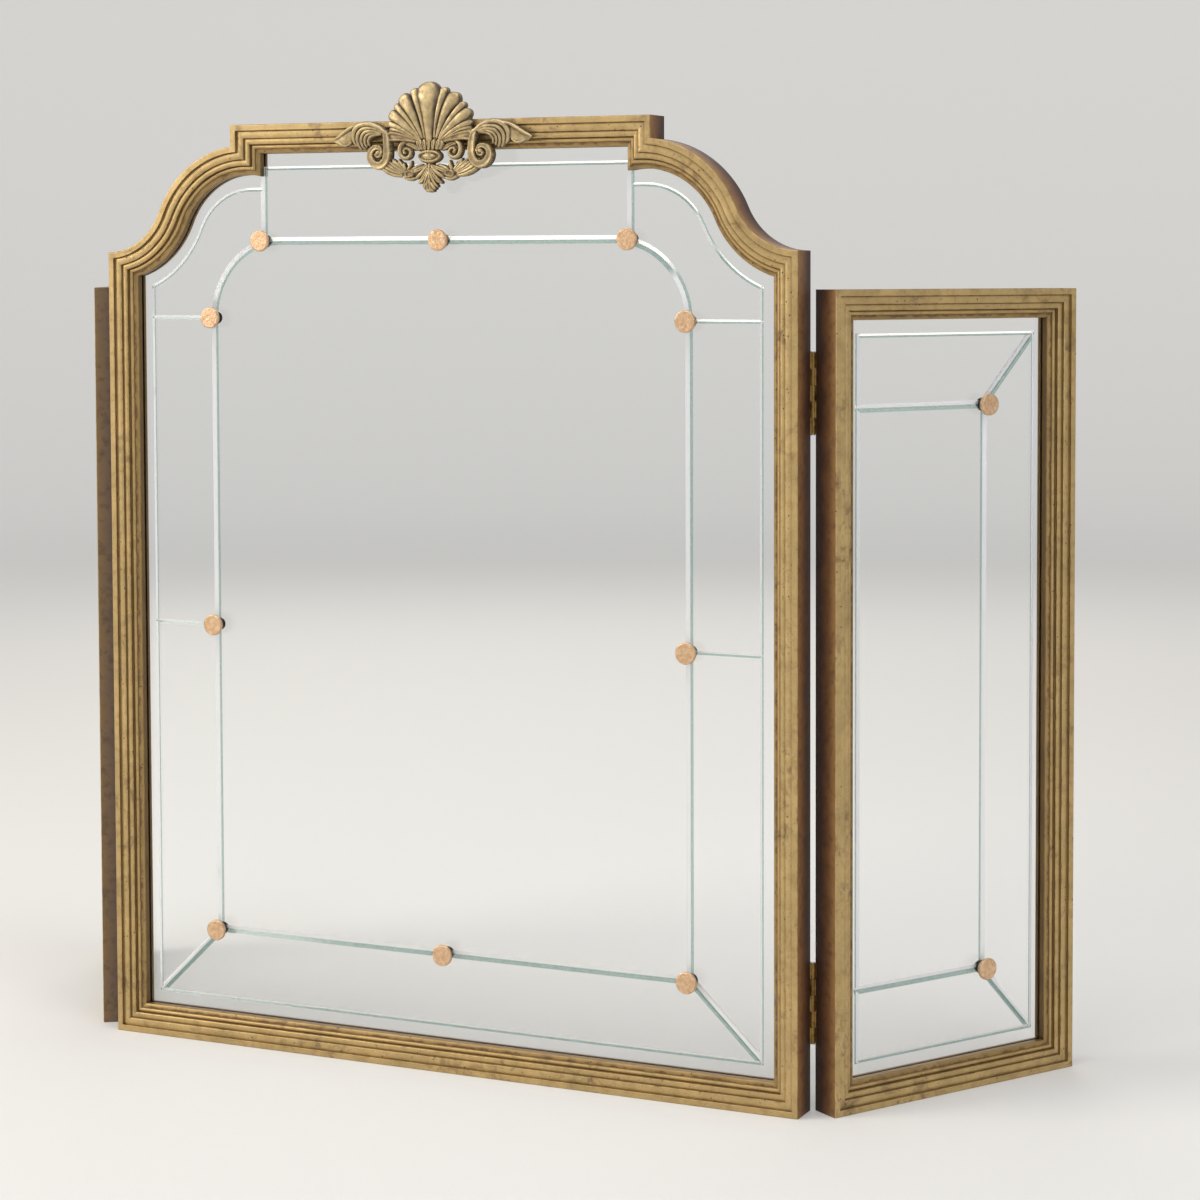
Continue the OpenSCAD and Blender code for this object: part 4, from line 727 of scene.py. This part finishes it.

# %% [markdown]
# ## Cast gold, rose gold, glass, brass and steel
# The crest is gilded like the wood, but its glaze gathers by shape: the relief and the ribs carry a
# "cavity" value at each point, high in a crease and low on a crown. The gold is darker where it is
# high, as glaze and painted shade together.
# The medallions are hammered, so their light comes from many small shallow dents.
# The glass is clear float glass with a faint green in its thickness. Its grooves are cut and
# polished. The side of each that faces the window is painted white and less clear, as painted light,
# and the other side is painted a darker green, the green of the glass with painted shade in it. The
# material tells them apart by the way they face. The slanting grooves to the corners are cut
# narrower than they look, so the material draws their facets on beside the cut, lit side and shaded
# side alike.

# %% Cast and gilded crest
def cast_gold():
    material, add = new_material("antiqued_cast_gold")
    place = add("TexCoord").outputs["Object"]
    cavity = add("Attribute", attribute_name="cavity").outputs["Fac"]
    # Glaze and painted shade: the higher the cavity, the darker the gold
    darkening = add("Math", [cavity, clouds(add, place, 5, 4, 0.3, 0.7, -0.16, 0.20)], operation="ADD")
    gold = add("ValToRGB", [darkening], [(0.05, "#C9B384"), (0.28, "#A9936A"), (0.50, "#7C6748"),
                                     (0.80, "#4C3C2C")])
    cloud = clouds(add, place, 16, 4, 0.46, 0.70, Roughness=0.6, Distortion=0.4)
    greyed = add("Math", [cloud, 0.55], operation="MULTIPLY")
    gold = add("Mix", {0: greyed, 6: gold, 7: "#8A7B60"}, data_type="RGBA")
    gold = speckled(add, gold, place, 3.2, 0.16, 0.30, "#3E2C1C")
    swell = add("TexNoise", {"Vector": place, "Scale": 1000 / 3, "Detail": 3, "Roughness": 0.55})
    grain = add("TexNoise", {"Vector": place, "Scale": 1000 / 0.7, "Detail": 3, "Roughness": 0.55})
    bump = add("Bump", {"Height": swell, "Strength": 0.5, "Distance": 0.35 * mm})
    bump = add("Bump", {"Height": grain, "Strength": 0.4, "Distance": 0.10 * mm, "Normal": bump})
    dull = add("Math", [darkening, grain], operation="ADD")
    return surfaced(material, add, {
        "Base Color": gold, "Metallic": add("MapRange", [darkening, 0.1, 0.7, 0.52, 0.06]),
        "Roughness": add("MapRange", [dull, 0.3, 1.3, 0.30, 0.62]), "Normal": bump})


# %% Hammered rose gold
def hammered_rose_gold():
    material, add = new_material("hammered_rose_gold")
    place = add("TexCoord").outputs["Object"]
    dent = add("TexVoronoi", {"Vector": place, "Scale": 1000 / 1.3, "Smoothness": 0.35},
               feature="SMOOTH_F1")
    tones = add("TexNoise", {"Vector": place, "Scale": 1000 / 4, "Detail": 4, "Roughness": 0.55})
    tone = add("ValToRGB", [tones], [(0.30, "#CEA67E"), (0.50, "#DFBA94"), (0.70, "#EBCDAB")])
    # Darker towards the edges of the dents
    dent_edge_darkening = add("MapRange", [dent, 0.45, 0.75, 0.0, 0.28])
    tone = add("Mix", {0: dent_edge_darkening, 6: tone, 7: "#A97C55"}, data_type="RGBA")
    tone = speckled(add, tone, place, 3.4, 0.17, 0.30, "#5B3D28")
    fine = add("TexNoise", {"Vector": place, "Scale": 1000 / 0.5, "Detail": 3, "Roughness": 0.55})
    bump = add("Bump", {"Height": dent, "Strength": 0.5, "Distance": 0.25 * mm}, invert=True)
    bump = add("Bump", {"Height": fine, "Strength": 0.3, "Distance": 0.06 * mm, "Normal": bump})
    return surfaced(material, add, {
        "Base Color": tone, "Metallic": 0.75, "Normal": bump,
        "Roughness": add("MapRange", [fine, 0.3, 0.7, 0.30, 0.46])})


# %% Clear glass with polished grooves
def grooved_glass(panel):
    material, add = new_material("clear_grooved_glass_" + panel)
    coords = add("TexCoord").outputs
    place, normal = coords["Object"], coords["Normal"]
    backwards = panels[panel][0]
    facing = add("VectorMath", [normal, backwards], operation="DOT_PRODUCT")
    # Where the light comes from, across the panel and downwards
    window = -0.75 if panel == "right_wing" else 0.75
    towards = (window * backwards[1], -window * backwards[0], -1.0)
    side = add("VectorMath", [normal, towards], operation="DOT_PRODUCT")
    # A facet of a groove leans, so that it faces forwards by 0.90 only
    leaning = add("Math", [add("Math", [facing, 0.90], operation="ADD")], operation="ABSOLUTE")
    groove = add("MapRange", [leaning, 0.04, 0.05, 1.0, 0.0])
    lit = add("Math", [groove, add("MapRange", [side, -0.04, 0.04])], operation="MULTIPLY")

    # The slanting grooves' facets are drawn on beside the cut, to 3.7 mm from its middle, with a painted
    # lit side and a painted shaded side
    front = add("MapRange", [facing, -0.99, -0.97, 1.0, 0.0])
    sideways = Vector((backwards[1], -backwards[0], 0))
    for across_at, up_at, run, rise in diagonals(panel):
        length = math.hypot(run, rise)
        along_way = sideways * (run / length) + Vector((0, 0, rise / length))
        aside_way = Vector((0, 0, run / length)) - sideways * (rise / length)
        start = sideways * across_at * mm + Vector((0, 0, up_at * mm))
        from_start = add("VectorMath", [place, start], operation="SUBTRACT")
        along, aside = [add("VectorMath", [from_start, way], operation="DOT_PRODUCT")
                        for way in (along_way, aside_way)]
        beside = add("Math", [aside], operation="ABSOLUTE")
        band = add("MapRange", [beside, 3.4 * mm, 3.7 * mm, 1.0, 0.0])
        before_end = add("MapRange", [along, (length - 5) * mm, (length - 3) * mm, 1.0, 0.0])
        for within in (before_end, front, add("MapRange", [along, 0.0, 1 * mm])):
            band = add("Math", [band, within], operation="MULTIPLY")
        groove = add("Math", [groove, band], operation="MAXIMUM")
        lit_side = -math.copysign(1, aside_way.dot(Vector(towards)))
        on_lit = add("Math", [aside, lit_side], operation="MULTIPLY")
        on_lit = add("MapRange", [on_lit, -0.1 * mm, 0.1 * mm])
        lit = add("Math", [lit, add("Math", [band, on_lit], operation="MULTIPLY")], operation="MAXIMUM")

    shaded = add("Math", [groove, lit], operation="SUBTRACT")
    edge = add("MapRange", [add("Math", [facing], operation="ABSOLUTE"), 0.3, 0.4, 1.0, 0.0])
    streaks = add("TexNoise", {"Vector": place, "Scale": 1000 / 2.5, "Detail": 3, "Roughness": 0.55})
    green = add("ValToRGB", [streaks], [(0.3, "#86A8A0"), (0.7, "#A9C2BC")])
    # Painted light and shade: lit facets are painted white, shaded facets a darker green, and both are made
    # less clear
    colour = "#FEFFFF"
    for where, paint in ((lit, "#FFFFFF"), (shaded, green), (edge, "#8FB5AB")):
        colour = add("Mix", {0: where, 6: colour, 7: paint}, data_type="RGBA")
    white = add("Math", [lit, 0.72], operation="MULTIPLY")
    tinted = add("Math", [shaded, 0.34], operation="MULTIPLY")
    solid = add("Math", [white, tinted], operation="ADD")
    frosted = add("Math", [groove, add("MapRange", [streaks, 0.3, 0.7, 0.05, 0.14])], operation="MULTIPLY")
    waves = clouds(add, place, 60, 2, 0.3, 0.7, 0.0, 0.012)
    return surfaced(material, add, {
        "Base Color": colour, "Transmission Weight": add("Math", [1.0, solid], operation="SUBTRACT"),
        "Roughness": add("Math", [waves, frosted], operation="ADD"), "IOR": 1.5})


# %% Antique brass, plain steel and black lacquer
def plain_metal(name, colours, size_mm, roughness, metallic=1.0):
    material, add = new_material(name)
    place = add("TexCoord").outputs["Object"]
    cloud = add("TexNoise", {"Vector": place, "Scale": 1000 / size_mm, "Detail": 4, "Roughness": 0.55})
    fine = add("TexNoise", {"Vector": place, "Scale": 1000 / 0.6, "Detail": 2, "Roughness": 0.55})
    return surfaced(material, add, {
        "Base Color": add("ValToRGB", [cloud], list(zip((0.35, 0.65), colours))), "Metallic": metallic,
        "Roughness": add("MapRange", [cloud, 0.3, 0.7, *roughness]),
        "Normal": add("Bump", {"Height": fine, "Strength": 0.35, "Distance": 0.05 * mm})})


finishes = {
    "cast_gold": cast_gold(),
    "rose_gold": hammered_rose_gold(),
    # Pressed brass that has darkened: a warm sheen with dull clouds
    "brass": plain_metal("antique_brass", ("#6E5530", "#9A7C48"), 6, (0.32, 0.52)),
    # Steel under a thin coat of zinc: pale, cool and a little mottled
    "steel": plain_metal("zinc_plated_steel", ("#A9ABAD", "#C4C5C6"), 4, (0.30, 0.45)),
    # Turned washers sprayed with lacquer: smooth and nearly even, no metal shows
    "black": plain_metal("black_lacquer", ("#121112", "#1E1C1B"), 5, (0.32, 0.48), 0.0),
}
glazing = {panel: grooved_glass(panel) for panel in panels}
print(len(finishes) + len(glazing) + len(gilding), "finishes")

# %% Run the rib tree and put the crest on the frame
crest = run_tree("crest_of_shell_and_scrolls", rib_lines, rib_tree, {
    "Sides": 28, "Root Share": 0.12, "Fullness": 0.36, "Casting": casting, "Finish": finishes["cast_gold"]})
bpy.data.objects.remove(casting)
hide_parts("crest")
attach(crest, "centre")
print("crest:", len(crest.data.polygons), "faces")

# %% The section of a medallion, turned round its axis
def turned_mesh(name, rings, sides):
    """A closed shape turned round Y from (radius, y) rings in mm; the first and last are on the axis."""
    points = [(0, rings[0][1] * mm, 0)]
    for radius, y in rings[1:-1]:
        points += [(radius * mm * math.cos(a), y * mm, radius * mm * math.sin(a))
                   for a in np.linspace(0, 2 * math.pi, sides, endpoint=False)]
    points.append((0, rings[-1][1] * mm, 0))
    faces = [(0, 1 + (k + 1) % sides, 1 + k) for k in range(sides)]
    for ring in range(len(rings) - 3):
        low, high = 1 + ring * sides, 1 + (ring + 1) * sides
        faces += [(low + k, low + (k + 1) % sides, high + (k + 1) % sides, high + k) for k in range(sides)]
    last = 1 + (len(rings) - 3) * sides
    faces += [(last + k, last + (k + 1) % sides, len(points) - 1) for k in range(sides)]
    mesh = bpy.data.meshes.new(name)
    mesh.from_pydata(points, [], faces)
    mesh.polygons.foreach_set("use_smooth", [True] * len(faces))
    mesh.set_sharp_from_angle(angle=math.radians(40))
    return mesh


# %% The tree that sets and hammers the medallions
seat_tree, add, given = new_group("set_medallions", [
    ("Medallion", "Object"), ("Turn", "Float"), ("Dent Depth", "Float"), ("Finish", "Material")])
shape = add("GeometryNodeObjectInfo", {"Object": given["Medallion"]}, transform_space="ORIGINAL")
spin = add("FunctionNodeRandomValue", {2: 0.0, 3: 2 * math.pi, "Seed": 7}, data_type="FLOAT")
turns = [add("FunctionNodeAxisAngleToRotation", {"Axis": axis, "Angle": angle})
         for axis, angle in (((0, 0, 1), given["Turn"]), ((0, 1, 0), spin))]
turn = add("FunctionNodeRotateRotation", turns, rotation_space="LOCAL")
placed = add("GeometryNodeInstanceOnPoints", {
    "Points": given["Geometry"], "Instance": shape.outputs["Geometry"], "Rotation": turn})
made_real = add("GeometryNodeRealizeInstances", {"Geometry": placed})
# The dents are a little over 2 mm apart, on the face alone
dents = add("TexNoise", {"Scale": 420.0, "Detail": 2.0})
inward = add("Math", [dents, 0.5], operation="SUBTRACT")
on_face = add("GeometryNodeInputNamedAttribute", {"Name": "face"}, data_type="FLOAT")
for share in (given["Dent Depth"], on_face):
    inward = add("Math", [inward, share], operation="MULTIPLY")
push = add("VectorMath", {0: add("GeometryNodeInputNormal"), "Scale": inward}, operation="SCALE")
hammered = add("GeometryNodeSetPosition", {"Geometry": made_real, "Offset": push})
finished = add("GeometryNodeSetMaterial", {"Geometry": hammered, "Material": given["Finish"]})
add("NodeGroupOutput", {"Geometry": finished})
print("medallion tree of", len(seat_tree.nodes), "nodes")

# %% One medallion, then all fourteen
face_rings = [(0, 0.0)] + [(r, 0.0) for r in np.arange(0.8, 8.9, 0.8)]
rim_rings = [(9.0, 0.02), (9.35, 0.22), (9.6, 0.42), (9.82, 0.78), (10.0, 1.3), (10.0, 3.0), (9.7, 3.4)]
for panel in ("centre", "left_wing", "right_wing"):
    centres, nearest, farthest, sideways, backwards = seats(panel + "_medallions", panel)
    long = (farthest - nearest) / mm
    shank_rings = [(4.25, 3.4), (4.25, 5.0), (8.25, 5.0), (8.25, 5.8), (2.0, 5.8),
                   (2.0, long - 0.3), (1.7, long), (0, long)]
    medallion_mesh = turned_mesh("medallion", face_rings + rim_rings + shank_rings, 72)
    radii = np.array([math.hypot(v.co.x, v.co.z) / mm for v in medallion_mesh.vertices])
    depth = np.array([v.co.y / mm for v in medallion_mesh.vertices])
    flat_face = ((depth < 0.01) & (radii < 8.9)).astype(float)
    medallion_mesh.attributes.new("face", "FLOAT", "POINT").data.foreach_set("value", flat_face)
    one = bpy.data.objects.new("one_medallion", medallion_mesh)
    bpy.context.scene.collection.objects.link(one)
    points = bpy.data.meshes.new("seats")
    front = Vector(backwards) * nearest
    points.from_pydata([Vector(sideways) * a + front + Vector((0, 0, z)) for a, z in centres], [], [])
    piece = run_tree(panel + "_hammered_medallions", points, seat_tree, {
        "Medallion": one, "Turn": math.atan2(-backwards[0], backwards[1]), "Dent Depth": 0.45 * mm,
        "Finish": finishes["rose_gold"]})
    bpy.data.objects.remove(one)
    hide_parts(panel + "_medallions")
    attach(piece, panel)
    print(panel, len(centres), "medallions")

# %% Give each CAD node its finish
def finish_node(name, material):
    mesh = nodes[name].data
    for i in range(len(mesh.materials)):
        mesh.materials[i] = material
    if not mesh.materials:
        mesh.materials.append(material)


wooden = ("stile", "rail", "step", "shoulder", "bead")
metals = {"washers": "black", "nuts": "steel", "brads": "steel", "screws": "steel", "pins": "steel",
          "leaf": "brass"}
for name in nodes:
    panel = next((wing for wing in ("left_wing", "right_wing") if name.startswith(wing)), "centre")
    if "glass" in name:
        finish_node(name, glazing[panel])
    elif any(word in name for word in wooden):
        finish_node(name, gilding[panel])
    for word, finish in metals.items():
        if word in name:
            finish_node(name, finishes[finish])
print("finishes on", len(nodes), "nodes")
